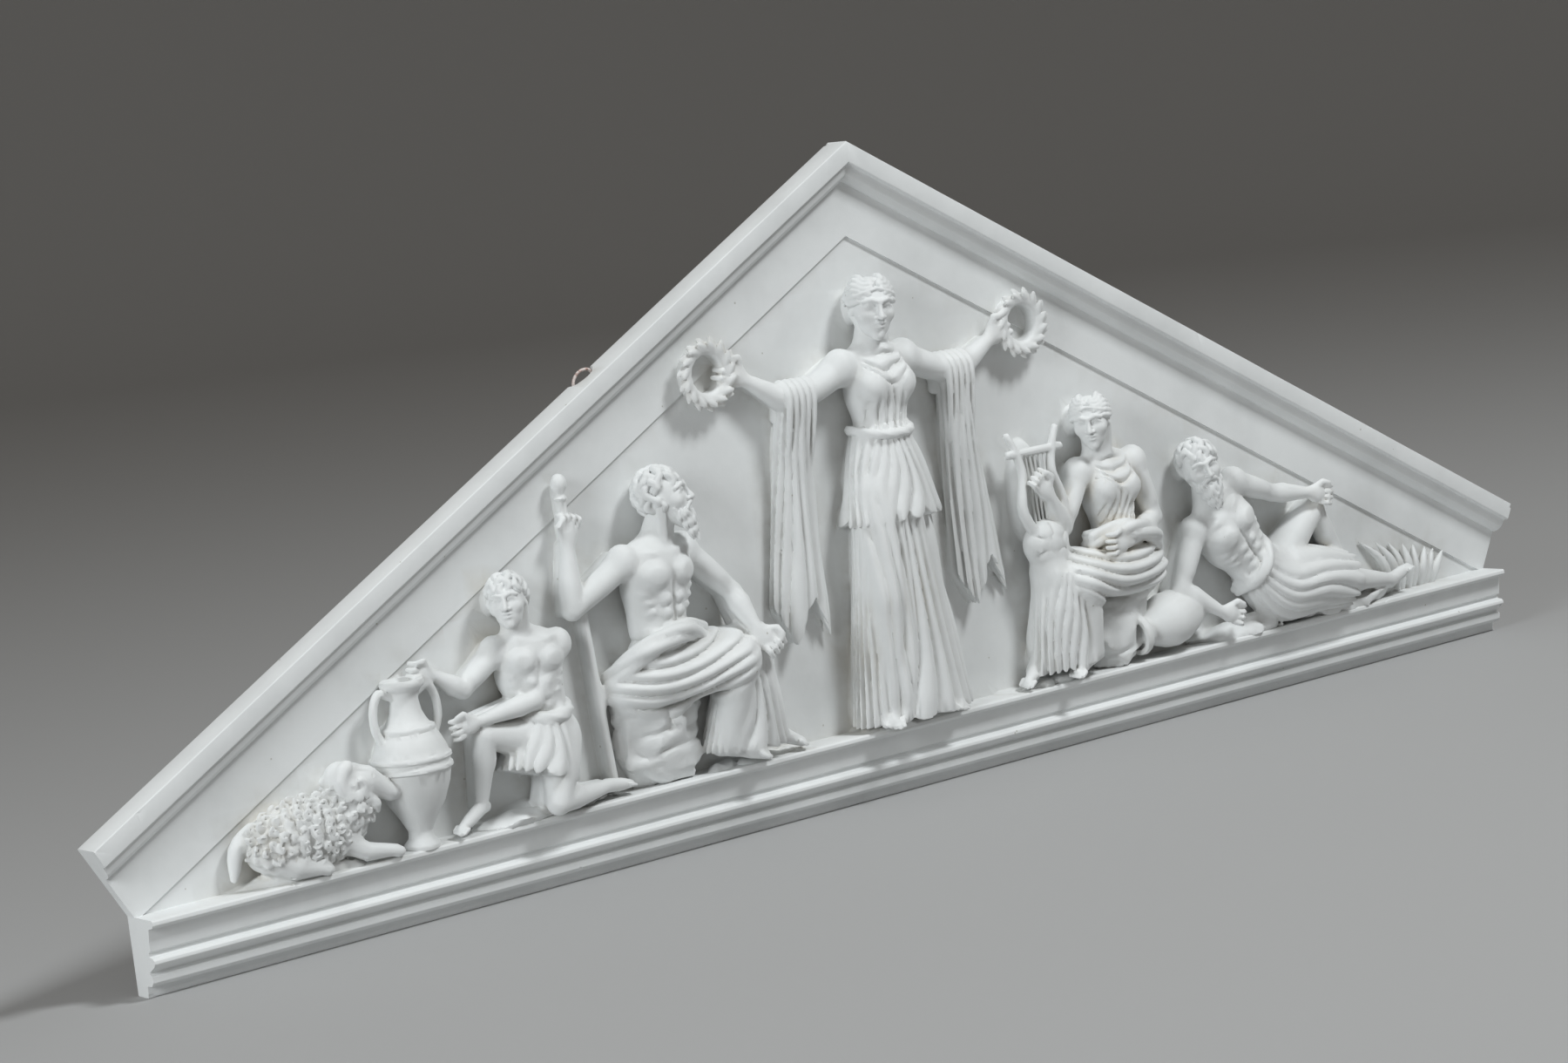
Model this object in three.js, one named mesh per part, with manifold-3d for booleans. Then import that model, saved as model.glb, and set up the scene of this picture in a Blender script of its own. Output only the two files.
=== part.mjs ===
// A plaster pediment panel: a moulded base strip, two raking mouldings and a
// tympanum that carries a group of figures in high relief, cast in one piece,
// with a wire loop set in a notch behind the left rake for hanging.
// Millimetres. X runs along the base, Z is up, and the front faces -Y.
// The back is the plane Y = 0, and the origin lies on it at the panel's middle.

import * as THREE from "three";
import { mergeVertices } from "three/addons/utils/BufferGeometryUtils.js";
import Module from "manifold-3d";

const wasm = await Module();
wasm.setup();

// Driving dimensions of the panel
const apexHeight = 374; // from the strip's underside to the outer apex
const pitch = THREE.MathUtils.degToRad(29.3); // slope of the rakes
const rakeWidth = 45; // moulding and plain band together, square to the slope
const mouldingWidth = 19.3; // moulding alone
const bandDepth = 7; // plain band, measured from the back
const panelDepth = 5.5; // sunk field of the tympanum
const stripHeight = 41;
const cornerLand = 3; // plain band left at the field's lower corners
const backCentre = 120; // height of the origin above the strip's underside
const skin = 1; // the relief is cut off this far in front of the back

// Corners that follow from them
const rakeCornerZ = stripHeight + rakeWidth * Math.cos(pitch);
const rakeCornerX = (apexHeight - rakeCornerZ) / Math.tan(pitch);
const stripHalf = rakeCornerX - rakeWidth * Math.sin(pitch);
const fieldHalf = stripHalf - cornerLand;
const fieldApex = stripHeight + fieldHalf * Math.tan(pitch);
const rakeLength = Math.hypot(rakeCornerX, apexHeight - rakeCornerZ);

// Profiles as [depth from the back, height] and [distance from the edge, depth]
const stripProfile = [
  [0, 0], [10.8, 0], [11, 6.3], [16, 6.5], [17.4, 8.6], [17.4, 11.8], [15.9, 12.8],
  [16.6, 14], [20.7, 17], [21.9, 18.8], [21.4, 20.6], [17.6, 22], [17.6, 23.2], [19.1, 23.8],
  [20.2, 36.2], [24.6, 37.2], [25.1, 39], [24.2, stripHeight], [0, stripHeight],
];
const rakeProfile = [
  [0, 0], [0, 17.5], [10.5, 17.5], [10.8, 14.3], [13, 14.2], [16, 13.2],
  [18.2, 11], [mouldingWidth, 8.4], [mouldingWidth, 0],
];

// Hanging wire, in the left rake
const wire = { x: -190, radius: 0.9, half: 7.5, rise: 3, root: -10, inset: 2.4, gap: 0.35 };
const wireShoulder = { across: 0.8, up: 0.2 }; // share of the half width and of the rise
const notch = { along: 9.5, deep: 8, front: 8 };

// Things that the figures hold, as places [across, up, proud of the field] and sizes
const wreathRing = { radius: 13, leaves: 7, leaf: 4.6, stem: 2.6 };
const wreathPlaces = { left: [-115, 258, 7], right: [117, 255, 7] };
const staffRod = { foot: [-209, 44, 8], top: [-221, 212, 8], radius: 2.6, knob: 5 };
const lyreSize = { middle: 112, shell: [15, 10, 13], horn: 3, ground: 14 };
const lyreBar = { half: 20, up: 180, radius: 2.6 };
const jarSize = { middle: -336, proud: 11, handle: 2.6 };
const urnSize = { middle: [208, 62, 12], tilt: 0.16, water: 5.5 };

// Helpers

function solid(geometry) {
  const bare = geometry.index ? geometry.toNonIndexed() : geometry.clone();
  for (const name of Object.keys(bare.attributes)) {
    if (name !== "position") bare.deleteAttribute(name);
  }
  const merged = mergeVertices(bare, 1e-3);
  const index = merged.index.array;
  const kept = [];
  for (let i = 0; i < index.length; i += 3) {
    const [a, b, c] = [index[i], index[i + 1], index[i + 2]];
    if (a !== b && b !== c && c !== a) kept.push(a, b, c);
  }
  return new wasm.Manifold(new wasm.Mesh({
    numProp: 3,
    vertProperties: new Float32Array(merged.attributes.position.array),
    triVerts: new Uint32Array(kept),
  }));
}

function geometryOf(manifold) {
  const mesh = manifold.getMesh();
  const position = new Float32Array(mesh.numVert * 3);
  for (let i = 0; i < mesh.numVert; i += 1) {
    position.set(mesh.vertProperties.subarray(i * mesh.numProp, i * mesh.numProp + 3), i * 3);
  }
  const geometry = new THREE.BufferGeometry();
  geometry.setAttribute("position", new THREE.BufferAttribute(position, 3));
  geometry.setIndex(new THREE.BufferAttribute(new Uint32Array(mesh.triVerts), 1));
  geometry.computeVertexNormals();
  return geometry;
}

const joined = (solids) => wasm.Manifold.union(solids);

// A point of the relief: across, up, and proud of the tympanum's field.
const spot = ([x, z, proud]) => new THREE.Vector3(x, -(panelDepth + proud), z);

const between = (a, b, t) => a.clone().lerp(b, t);

// Right, front and up
const worldAxes = [new THREE.Vector3(1, 0, 0), new THREE.Vector3(0, -1, 0), new THREE.Vector3(0, 0, 1)];

function offset(origin, [right, front, up], across, forward, rise) {
  return origin.clone()
    .addScaledVector(right, across)
    .addScaledVector(front, forward)
    .addScaledVector(up, rise);
}

// An egg: radii across, forward and up along the given axes. A rough one has tufts or curls.
function egg(centre, radii, { axes = worldAxes, sides = 8, rough = 0 } = {}) {
  const rows = Math.ceil(sides * 0.6);
  const shape = new THREE.SphereGeometry(1, sides, rows);
  shape.rotateX(Math.PI / 2);
  const place = shape.attributes.position;
  for (let i = 0; i < place.count; i += 1) {
    const row = Math.round((Math.acos(THREE.MathUtils.clamp(place.getZ(i), -1, 1)) / Math.PI) * rows);
    const column = Math.round((Math.atan2(place.getY(i), place.getX(i)) / (2 * Math.PI)) * sides);
    const swell = 1 + (isEven(row + column) ? rough : -rough);
    const atPole = row === 0 || row === rows;
    const grown = new THREE.Vector3().fromBufferAttribute(place, i).multiplyScalar(atPole ? 1 : swell);
    place.setXYZ(i, grown.x, grown.y, grown.z);
  }
  const [right, front, up] = axes;
  shape.applyMatrix4(new THREE.Matrix4().makeBasis(
    right.clone().multiplyScalar(radii[0]),
    front.clone().multiplyScalar(-radii[1]),
    up.clone().multiplyScalar(radii[2]),
  ).setPosition(centre));
  return solid(shape);
}

// A closed skin over oval stations [point, wide, deep], deep being towards the front.
// A fold ratio above zero makes every other side stand proud, as pleats do.
function loft(stations, { sides = 5, fold = 0, front = worldAxes[1] } = {}) {
  const last = stations.length - 1;
  const points = stations.map(([point]) => point);
  const frames = points.map((point, i) => {
    const ahead = points[Math.min(i + 1, last)].clone().sub(point).normalize();
    const behind = point.clone().sub(points[Math.max(i - 1, 0)]).normalize();
    const along = ahead.add(behind).normalize();
    const across = front.clone().cross(along).normalize();
    return [across, along.clone().cross(across)];
  });
  const shape = new THREE.CylinderGeometry(1, 1, 1, sides, last);
  const place = shape.attributes.position;
  for (let i = 0; i < place.count; i += 1) {
    const row = Math.round((0.5 - place.getY(i)) * last);
    const [x, z] = [place.getX(i), place.getZ(i)];
    const side = Math.round((Math.atan2(z, x) / (2 * Math.PI)) * sides);
    const swell = 1 + (isEven(side) ? fold : -fold);
    const [point, wide, deep = wide] = stations[row];
    const moved = point.clone()
      .addScaledVector(frames[row][0], wide * swell * x)
      .addScaledVector(frames[row][1], deep * swell * z);
    place.setXYZ(i, moved.x, moved.y, moved.z);
  }
  return solid(shape);
}

const isEven = (count) => count % 2 === 0;

// A tube through a few points: a handle, a horn, a fold of cloth or a wire.
function tube(points, radius, sides = 4, steps = 4) {
  const section = new THREE.Shape();
  for (let i = 0; i < sides; i += 1) {
    const angle = (2 * Math.PI * i) / sides;
    const [u, v] = [radius * Math.cos(angle), radius * Math.sin(angle)];
    if (i === 0) section.moveTo(u, v);
    else section.lineTo(u, v);
  }
  const extrudePath = new THREE.CatmullRomCurve3(points);
  return solid(new THREE.ExtrudeGeometry(section, { steps, extrudePath }));
}

// Folds of cloth spread evenly between two edges that have as many points.
function folds(firstEdge, lastEdge, count, radius) {
  return Array.from({ length: count }, (_, i) => {
    const share = i / (count - 1);
    return tube(firstEdge.map((p, k) => between(spot(p), spot(lastEdge[k]), share)), radius);
  });
}

// Cloth that hangs in pleats through stations [[across, up, proud], wide, deep].
function pleats(stations, count, fold) {
  return loft(stations.map(([at, wide, deep]) => [spot(at), wide, deep]), { sides: 2 * count, fold });
}

// The panel

function outline(points) {
  return new THREE.Shape(points.map(([u, v]) => new THREE.Vector2(u, v)));
}

function slab(points, fromDepth, toDepth) {
  const shape = new THREE.ExtrudeGeometry(outline(points), {
    depth: toDepth - fromDepth,
    bevelEnabled: false,
  });
  shape.rotateX(Math.PI / 2).translate(0, -fromDepth, 0);
  return solid(shape);
}

function plate() {
  const backing = slab([
    [-stripHalf, 0], [stripHalf, 0], [stripHalf, stripHeight], [rakeCornerX, rakeCornerZ],
    [0, apexHeight], [-rakeCornerX, rakeCornerZ], [-stripHalf, stripHeight],
  ], 0, bandDepth);
  const sunkField = slab([[-fieldHalf, stripHeight], [fieldHalf, stripHeight], [0, fieldApex]],
    panelDepth, bandDepth + 1);
  return backing.subtract(sunkField);
}

function baseStrip() {
  const shape = new THREE.ExtrudeGeometry(outline(stripProfile), {
    depth: 2 * stripHalf,
    bevelEnabled: false,
  });
  // Profile depth goes to -Y, profile height to Z, and the length along X.
  shape.applyMatrix4(new THREE.Matrix4().makeBasis(
    new THREE.Vector3(0, -1, 0),
    new THREE.Vector3(0, 0, 1),
    new THREE.Vector3(-1, 0, 0),
  )).translate(stripHalf, 0, 0);
  return solid(shape);
}

// A rake runs from its square-cut foot past the apex and is mitred there.
// Side is -1 for the left rake and 1 for the right one.
function rake(side) {
  const run = rakeLength + rakeWidth;
  const shape = new THREE.ExtrudeGeometry(outline(rakeProfile), { depth: run, bevelEnabled: false });
  const inward = new THREE.Vector3(-side * Math.sin(pitch), 0, -Math.cos(pitch));
  const forward = new THREE.Vector3(0, -1, 0);
  const along = inward.clone().cross(forward); // up the slope on the right, down it on the left
  shape.translate(0, 0, side > 0 ? 0 : -run);
  shape.applyMatrix4(new THREE.Matrix4().makeBasis(inward, forward, along));
  shape.translate(side * rakeCornerX, 0, rakeCornerZ);
  const half = new THREE.BoxGeometry(apexHeight * 2, apexHeight, apexHeight * 4);
  half.translate(side * apexHeight, 0, 0);
  return solid(shape).intersect(solid(half));
}

// The hanging wire and its notch

const rakeUp = new THREE.Vector3(Math.cos(pitch), 0, Math.sin(pitch));
const rakeOut = new THREE.Vector3(-Math.sin(pitch), 0, Math.cos(pitch));
const wireFoot = new THREE.Vector3(wire.x, 0, apexHeight + wire.x * Math.tan(pitch));

function wirePoint(along, out) {
  return wireFoot.clone()
    .addScaledVector(rakeUp, along)
    .addScaledVector(rakeOut, out)
    .add(new THREE.Vector3(0, -wire.inset, 0));
}

function wireLoop(radius, extra) {
  const route = [
    wirePoint(-wire.half, wire.root - extra),
    wirePoint(-wire.half, wire.root / 2),
    wirePoint(-wire.half * wireShoulder.across, wire.rise * wireShoulder.up),
    wirePoint(0, wire.rise),
    wirePoint(wire.half * wireShoulder.across, wire.rise * wireShoulder.up),
    wirePoint(wire.half, wire.root / 2),
    wirePoint(wire.half, wire.root - extra),
  ];
  return tube(route, radius, 5, 12);
}

function wireNotch() {
  const axes = [rakeUp, new THREE.Vector3(0, -1, 0), rakeOut];
  return egg(wireFoot, [notch.along, notch.front, notch.deep], { axes, sides: 8 });
}

// The figures

function trunkAxes({ arms, neck, loin }) {
  const right = spot(arms[1].shoulder).sub(spot(arms[0].shoulder)).normalize();
  const front = right.clone().cross(spot(neck).sub(spot(loin))).normalize();
  return [right, front, front.clone().cross(right)];
}

// Gaze in degrees: turn to the viewer's right, nod upwards, lean to the right.
function headAxes({ turn, nod, lean }) {
  const spin = new THREE.Quaternion();
  const turns = [[worldAxes[2], turn], [worldAxes[0], -nod], [worldAxes[1], -lean]];
  for (const [axis, degrees] of turns) {
    const step = new THREE.Quaternion().setFromAxisAngle(axis, THREE.MathUtils.degToRad(degrees));
    spin.multiply(step);
  }
  return worldAxes.map((axis) => axis.clone().applyQuaternion(spin));
}

// Girths below are in head heights, the pose's unit.

function trunk(pose) {
  const { unit, woman } = pose;
  const axes = trunkAxes(pose);
  const [chest, loin, neck] = [spot(pose.chest), spot(pose.loin), spot(pose.neck)];
  const lift = (point, share) => point.clone().addScaledVector(axes[2], share * unit);
  const girths = woman
    ? [[0.42, 0.34], [0.68, 0.5], [0.48, 0.42], [0.62, 0.48], [0.58, 0.4], [0.25, 0.25], [0.22, 0.22]]
    : [[0.42, 0.36], [0.64, 0.5], [0.6, 0.48], [0.78, 0.56], [0.74, 0.46], [0.3, 0.28], [0.26, 0.26]];
  const places = [
    lift(loin, -0.42), loin, between(loin, chest, 0.5), chest, lift(chest, 0.42), neck, spot(pose.skull),
  ];
  const made = [loft(
    places.map((place, i) => [place, girths[i][0] * unit, girths[i][1] * unit]),
    { sides: 8, front: axes[1] },
  )];
  const swell = woman
    ? { across: 0.3, forward: 0.38, rise: 0.1, radii: [0.27, 0.24, 0.27] }
    : { across: 0.36, forward: 0.46, rise: 0.22, radii: [0.42, 0.14, 0.3] };
  for (const side of [-1, 1]) {
    const centre = offset(chest, axes, side * swell.across * unit, swell.forward * unit, swell.rise * unit);
    made.push(egg(centre, swell.radii.map((share) => share * unit), { axes, sides: 6 }));
  }
  return made;
}

function arm({ shoulder, elbow, wrist, grip }, neck, unit) {
  const [s, e, w, g] = [shoulder, elbow, wrist, grip].map(spot);
  const girths = [
    [between(spot(neck), s, 0.4), 0.2], [s, 0.3], [between(s, e, 0.45), 0.265], [e, 0.2],
    [between(e, w, 0.35), 0.215], [w, 0.135], [g, 0.17, 0.12],
  ];
  return loft(girths.map(([at, wide, deep = wide]) => [at, wide * unit, deep * unit]));
}

// Under a long skirt only the foot shows.
function leg({ hip, knee, ankle, toe }, unit, skirted) {
  const [h, k, a, t] = [hip, knee, ankle, toe].map(spot);
  const bare = [[h, 0.42], [between(h, k, 0.4), 0.4], [k, 0.27], [between(k, a, 0.35), 0.28]];
  const foot = [[a, 0.16], [between(a, t, 0.45), 0.19], [t, 0.12]];
  const girths = skirted ? foot : [...bare, ...foot];
  return loft(girths.map(([at, wide]) => [at, wide * unit]));
}

function head(pose) {
  const { unit } = pose;
  const axes = headAxes(pose.gaze);
  const centre = spot(pose.skull);
  const point = (across, front, up) => offset(centre, axes, across * unit, front * unit, up * unit);
  const part = (place, radii, options) => (
    egg(place, radii.map((share) => share * unit), { axes, ...options })
  );
  const made = [
    loft([
      [point(0, 0.2, -0.56), 0.12 * unit, 0.1 * unit], [point(0, 0.14, -0.36), 0.25 * unit, 0.27 * unit],
      [point(0, 0.03, 0), 0.33 * unit, 0.39 * unit], [point(0, 0, 0.36), 0.24 * unit, 0.3 * unit],
    ], { sides: 8, front: axes[1] }),
    loft([[point(0, 0.36, 0.12), 0.05 * unit], [point(0, 0.46, -0.08), 0.07 * unit]], { sides: 4 }),
    part(point(0, -0.09, 0.13), [0.42, 0.44, 0.42], { rough: 0.09 }),
  ];
  if (pose.bearded) made.push(part(point(0, 0.2, -0.48), [0.26, 0.22, 0.32], { sides: 4, rough: 0.1 }));
  if (pose.bun) made.push(part(point(0, -0.52, 0.04), [0.22, 0.2, 0.22], { sides: 6 }));
  return made;
}

function figure(pose) {
  return [
    ...trunk(pose), ...head(pose),
    ...pose.arms.map((joints) => arm(joints, pose.neck, pose.unit)),
    ...pose.legs.map((joints) => leg(joints, pose.unit, pose.skirted)),
  ];
}

// Poses. Each joint is [across, up, proud of the field].

// A draped woman stands in the middle and holds out two wreaths.
const wreathBearer = {
  unit: 34, woman: true, bun: true, skirted: true, gaze: { turn: -18, nod: -6, lean: 3 },
  skull: [0, 280, 17], neck: [0, 255, 11], chest: [0, 233, 12], loin: [1, 182, 12],
  arms: [
    { shoulder: [-23, 248, 11], elbow: [-59, 232, 11], wrist: [-88, 250, 9], grip: [-102, 259, 8] },
    { shoulder: [23, 248, 11], elbow: [60, 233, 11], wrist: [90, 248, 9], grip: [104, 256, 8] },
  ],
  legs: [
    { hip: [-13, 173, 12], knee: [-20, 115, 26], ankle: [-20, 56, 14], toe: [-26, 46, 27] },
    { hip: [14, 173, 12], knee: [15, 109, 14], ankle: [18, 54, 12], toe: [25, 46, 25] },
  ],
};

// A bearded man with a staff sits on a rock at her right hand.
const elder = {
  unit: 31, bearded: true, skirted: true, gaze: { turn: 48, nod: 10, lean: 0 },
  skull: [-159, 197, 17], neck: [-165, 174, 12], chest: [-169, 151, 12], loin: [-173, 107, 12],
  arms: [
    { shoulder: [-191, 166, 15], elbow: [-225, 146, 12], wrist: [-221, 180, 9], grip: [-218, 193, 9] },
    { shoulder: [-147, 166, 10], elbow: [-121, 138, 16], wrist: [-117, 117, 29], grip: [-111, 109, 33] },
  ],
  legs: [
    { hip: [-178, 101, 15], knee: [-129, 102, 27], ankle: [-137, 54, 16], toe: [-117, 46, 24] },
    { hip: [-163, 105, 9], knee: [-111, 108, 16], ankle: [-103, 56, 10], toe: [-84, 46, 15] },
  ],
};

// A woman sits opposite and plays a lyre.
const lyrePlayer = {
  unit: 30, woman: true, bun: true, skirted: true, gaze: { turn: -50, nod: -8, lean: -4 },
  skull: [157, 191, 17], neck: [164, 169, 12], chest: [168, 147, 12], loin: [173, 105, 12],
  arms: [
    { shoulder: [147, 161, 11], elbow: [127, 132, 16], wrist: [115, 152, 21], grip: [108, 162, 21] },
    { shoulder: [188, 162, 15], elbow: [197, 127, 19], wrist: [166, 117, 29], grip: [152, 118, 31] },
  ],
  legs: [
    { hip: [163, 103, 9], knee: [113, 106, 15], ankle: [105, 55, 10], toe: [87, 46, 15] },
    { hip: [178, 100, 15], knee: [131, 99, 26], ankle: [138, 53, 16], toe: [119, 46, 24] },
  ],
};

// A youth kneels and steadies a tall jar.
const jarBoy = {
  unit: 27, gaze: { turn: -42, nod: 4, lean: -6 },
  skull: [-268, 159, 16], neck: [-261, 140, 11], chest: [-257, 121, 11], loin: [-250, 86, 12],
  arms: [
    { shoulder: [-276, 133, 9], elbow: [-299, 117, 10], wrist: [-315, 128, 9], grip: [-326, 131, 10] },
    { shoulder: [-239, 131, 14], elbow: [-262, 105, 21], wrist: [-296, 101, 21], grip: [-311, 99, 19] },
  ],
  legs: [
    { hip: [-258, 83, 10], knee: [-293, 92, 17], ankle: [-297, 54, 11], toe: [-315, 46, 17] },
    { hip: [-244, 80, 15], knee: [-258, 49, 26], ankle: [-217, 49, 15], toe: [-203, 47, 14] },
  ],
};

// A bearded man reclines on a flowing urn towards the right corner.
const riverMan = {
  unit: 30, bearded: true, gaze: { turn: -22, nod: -4, lean: -14 },
  skull: [241, 150, 18], neck: [249, 127, 13], chest: [263, 105, 13], loin: [294, 69, 14],
  arms: [
    { shoulder: [236, 111, 12], elbow: [216, 79, 16], wrist: [240, 61, 24], grip: [253, 57, 26] },
    { shoulder: [271, 136, 14], elbow: [302, 124, 15], wrist: [328, 120, 20], grip: [341, 117, 22] },
  ],
  legs: [
    { hip: [300, 78, 10], knee: [338, 108, 13], ankle: [368, 58, 9], toe: [386, 49, 13] },
    { hip: [301, 63, 18], knee: [352, 61, 22], ankle: [402, 52, 14], toe: [417, 57, 14] },
  ],
};

// Drapery

// Cloth over a seated figure's lap, which falls from the knees to the ankles.
// Side is -1 where the figure sits on the left and faces right.
function lapCloth(side) {
  const at = (across, up, proud) => [side * across, up, proud];
  return pleats([
    [at(196, 106, 10), 14, 15], [at(160, 104, 18), 19, 20], [at(120, 98, 19), 20, 20],
    [at(119, 78, 15), 21, 18], [at(121, 56, 11), 25, 15],
  ], 5, 0.1);
}

// Bodice folds that sag from shoulder to shoulder below [across, up, proud].
function bodice([x, z, proud], wide, drop) {
  return folds(
    [[x - wide, z, proud - 7], [x, z - drop, proud], [x + wide, z, proud - 7]],
    [[x - wide, z - 1.5 * drop, proud - 5], [x, z - 2.5 * drop, proud - 1],
      [x + wide, z - 1.5 * drop, proud - 5]],
    2, 2.8,
  );
}

function wreathBearerCloth() {
  const shawl = (side) => pleats([
    [[side * 59, 241, 8], 10, 10], [[side * 62, 190, 5], 13, 9], [[side * 67, 110, 3], 18, 8],
  ], 4, 0.16);
  return [
    pleats([[[1, 183, 12], 22, 17], [[0, 120, 12], 30, 18], [[0, 47, 11], 39, 20]], 8, 0.1),
    pleats([[[0, 211, 12], 18, 16], [[0, 188, 12], 25, 19], [[0, 162, 13], 31, 21]], 7, 0.09),
    ...bodice([0, 252, 27], 16, 11),
    shawl(-1), shawl(1),
  ];
}

const jarBoyCloth = () => [
  pleats([[[-252, 95, 11], 15, 13], [[-256, 80, 13], 19, 16], [[-261, 66, 14], 22, 18]], 5, 0.09),
];

const riverManCloth = () => [
  pleats([
    [[278, 84, 14], 16, 15], [[300, 68, 15], 23, 19], [[326, 66, 16], 21, 19], [[356, 60, 15], 17, 17],
  ], 5, 0.1),
];

// Things held and things sat on

function turned(profile, sides = 8) {
  return new THREE.LatheGeometry(profile.map(([radius, up]) => new THREE.Vector2(radius, up)), sides);
}

function rock(place, radii, turn) {
  const shape = new THREE.IcosahedronGeometry(1, 0);
  shape.rotateX(turn).rotateZ(turn * 1.7);
  shape.scale(radii[0], radii[1], radii[2]);
  const centre = spot(place);
  shape.translate(centre.x, centre.y, centre.z);
  return solid(shape);
}

// A wreath of leaves: a ring whose thickness alternates leaf by leaf.
function wreath(place) {
  const steps = 2 * wreathRing.leaves;
  const shape = new THREE.TorusGeometry(wreathRing.radius, 1, 4, steps);
  const points = shape.attributes.position;
  for (let i = 0; i < points.count; i += 1) {
    const angle = Math.atan2(points.getY(i), points.getX(i));
    const step = Math.round((angle / (2 * Math.PI)) * steps);
    const girth = isEven(step) ? wreathRing.leaf : wreathRing.stem;
    const out = Math.hypot(points.getX(i), points.getY(i)) - wreathRing.radius;
    const reach = wreathRing.radius + girth * out;
    points.setXYZ(i, reach * Math.cos(angle), reach * Math.sin(angle), girth * points.getZ(i));
  }
  const centre = spot(place);
  shape.rotateX(Math.PI / 2).translate(centre.x, centre.y, centre.z);
  return solid(shape);
}

function staff() {
  const { radius, knob } = staffRod;
  const [foot, top] = [spot(staffRod.foot), spot(staffRod.top)];
  return [loft([[foot, radius], [top, radius]]), egg(top, [knob, knob, knob], { sides: 6 })];
}

// A flat ground of plaster left behind thin carving, up to the given height.
const webBehind = (points, proud) => slab(points, skin, panelDepth + proud);

function lyre() {
  const { middle, shell, ground } = lyreSize;
  const barEnd = (side) => [spot([middle + side * lyreBar.half, lyreBar.up, ground]), lyreBar.radius];
  const horn = (side) => tube(
    [[7, 130, 19], [16, 148, 17], [11, 168, 15], [16, 188, 13]]
      .map(([across, up, proud]) => spot([middle + side * across, up, proud])),
    lyreSize.horn,
  );
  return [
    egg(spot([middle, 126, 18]), shell),
    horn(-1), horn(1),
    loft([barEnd(-1), barEnd(1)], { sides: 4 }),
    webBehind([
      [middle - 10, 128], [middle + 10, 128], [middle + 12, lyreBar.up], [middle - 12, lyreBar.up],
    ], ground),
  ];
}

function jar() {
  const { middle, proud } = jarSize;
  const shape = turned([
    [0, 40], [9, 40], [6.5, 51], [14, 63], [20, 80], [19.5, 93], [10, 108], [8, 118],
    [12, 127], [12, 130], [0, 130],
  ]);
  shape.rotateX(Math.PI / 2).translate(middle, -(panelDepth + proud), 0);
  const handle = (side) => tube(
    [[7, 122], [17, 121], [19, 108], [16, 96]]
      .map(([across, up]) => spot([middle + side * across, up, proud - 1])),
    jarSize.handle,
  );
  return [solid(shape), handle(-1), handle(1)];
}

function urn() {
  const shape = turned([
    [0, -24], [8, -24], [14, -14], [17, 2], [13, 15], [9, 21], [13, 27], [13, 31], [0, 31],
  ]);
  const middle = spot(urnSize.middle);
  shape.rotateZ(Math.PI / 2 + urnSize.tilt).translate(middle.x, middle.y, middle.z);
  const water = folds(
    [[184, 56, 14], [172, 51, 15], [164, 43, 13]],
    [[186, 63, 8], [168, 60, 5], [154, 44, 3]],
    2, urnSize.water,
  );
  return [solid(shape), ...water];
}

function ram() {
  const horn = Array.from({ length: 9 }, (_, i) => {
    const angle = 1.9 + i * 0.62;
    const reach = 10 - 0.85 * i;
    return spot([-377 + reach * Math.cos(angle), 84 + reach * Math.sin(angle), 20 + 0.4 * i]);
  });
  return [
    egg(spot([-402, 63, 8]), [34, 16, 19], { rough: 0.07 }),
    egg(spot([-378, 74, 10]), [15, 14, 17]),
    loft([[spot([-380, 86, 13]), 9], [spot([-368, 83, 17]), 8], [spot([-355, 75, 18]), 4.5]]),
    loft([[spot([-386, 54, 14]), 6], [spot([-374, 47, 18]), 5], [spot([-356, 45, 19]), 3.6]]),
    loft([[spot([-428, 56, 10]), 9], [spot([-416, 48, 16]), 7], [spot([-400, 45, 19]), 3.8]]),
    loft([[spot([-432, 68, 6]), 5], [spot([-443, 58, 5]), 5], [spot([-444, 46, 4]), 3]]),
    tube(horn, 3, 4, 10),
  ];
}

// Reed blades that fan out of the right corner.
function reeds() {
  return Array.from({ length: 4 }, (_, i) => {
    const lean = -0.7 + 0.42 * i;
    const height = 36 - 5 * i;
    const [x, z, proud] = [419 + 9 * i, 42, 1 + (i % 2)];
    const middle = [x + 0.35 * height * lean, z + 0.55 * height, proud + 1];
    const tip = [x + height * lean, z + height, proud];
    return loft([[spot([x, z, proud]), 3, 4], [spot(middle), 3.4, 4], [spot(tip), 0.8, 2.5]], { sides: 4 });
  });
}

const rocks = () => [
  webBehind([[-450, stripHeight - skin], [450, stripHeight - skin], [430, 45], [-430, 45]], 10),
  rock([-178, 64, 4], [40, 20, 34], 0.4),
  rock([170, 62, 4], [31, 15, 33], 0.9),
  rock([-262, 42, 4], [58, 21, 10], 0.2),
  rock([-402, 42, 4], [56, 19, 10], 0.7),
  rock([266, 43, 4], [50, 22, 13], 0.5),
  rock([360, 42, 4], [58, 20, 12], 0.3),
];

// The whole

function relief() {
  const carved = joined([
    ...figure(wreathBearer), ...wreathBearerCloth(),
    wreath(wreathPlaces.left), wreath(wreathPlaces.right),
    ...figure(elder), lapCloth(-1), ...staff(),
    ...figure(lyrePlayer), lapCloth(1), ...lyre(),
    ...figure(jarBoy), ...jarBoyCloth(), ...jar(),
    ...figure(riverMan), ...riverManCloth(), ...urn(), ...reeds(),
    ...ram(), ...rocks(),
  ]);
  const reach = 2 * apexHeight;
  const room = new THREE.BoxGeometry(2 * rakeCornerX, reach, reach);
  room.translate(0, -skin - reach / 2, stripHeight - skin / 2 + reach / 2);
  return carved.intersect(solid(room));
}

function casting() {
  return joined([plate(), baseStrip(), rake(-1), rake(1), relief()])
    .subtract(wireNotch())
    .subtract(wireLoop(wire.radius + wire.gap, wire.gap));
}

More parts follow.
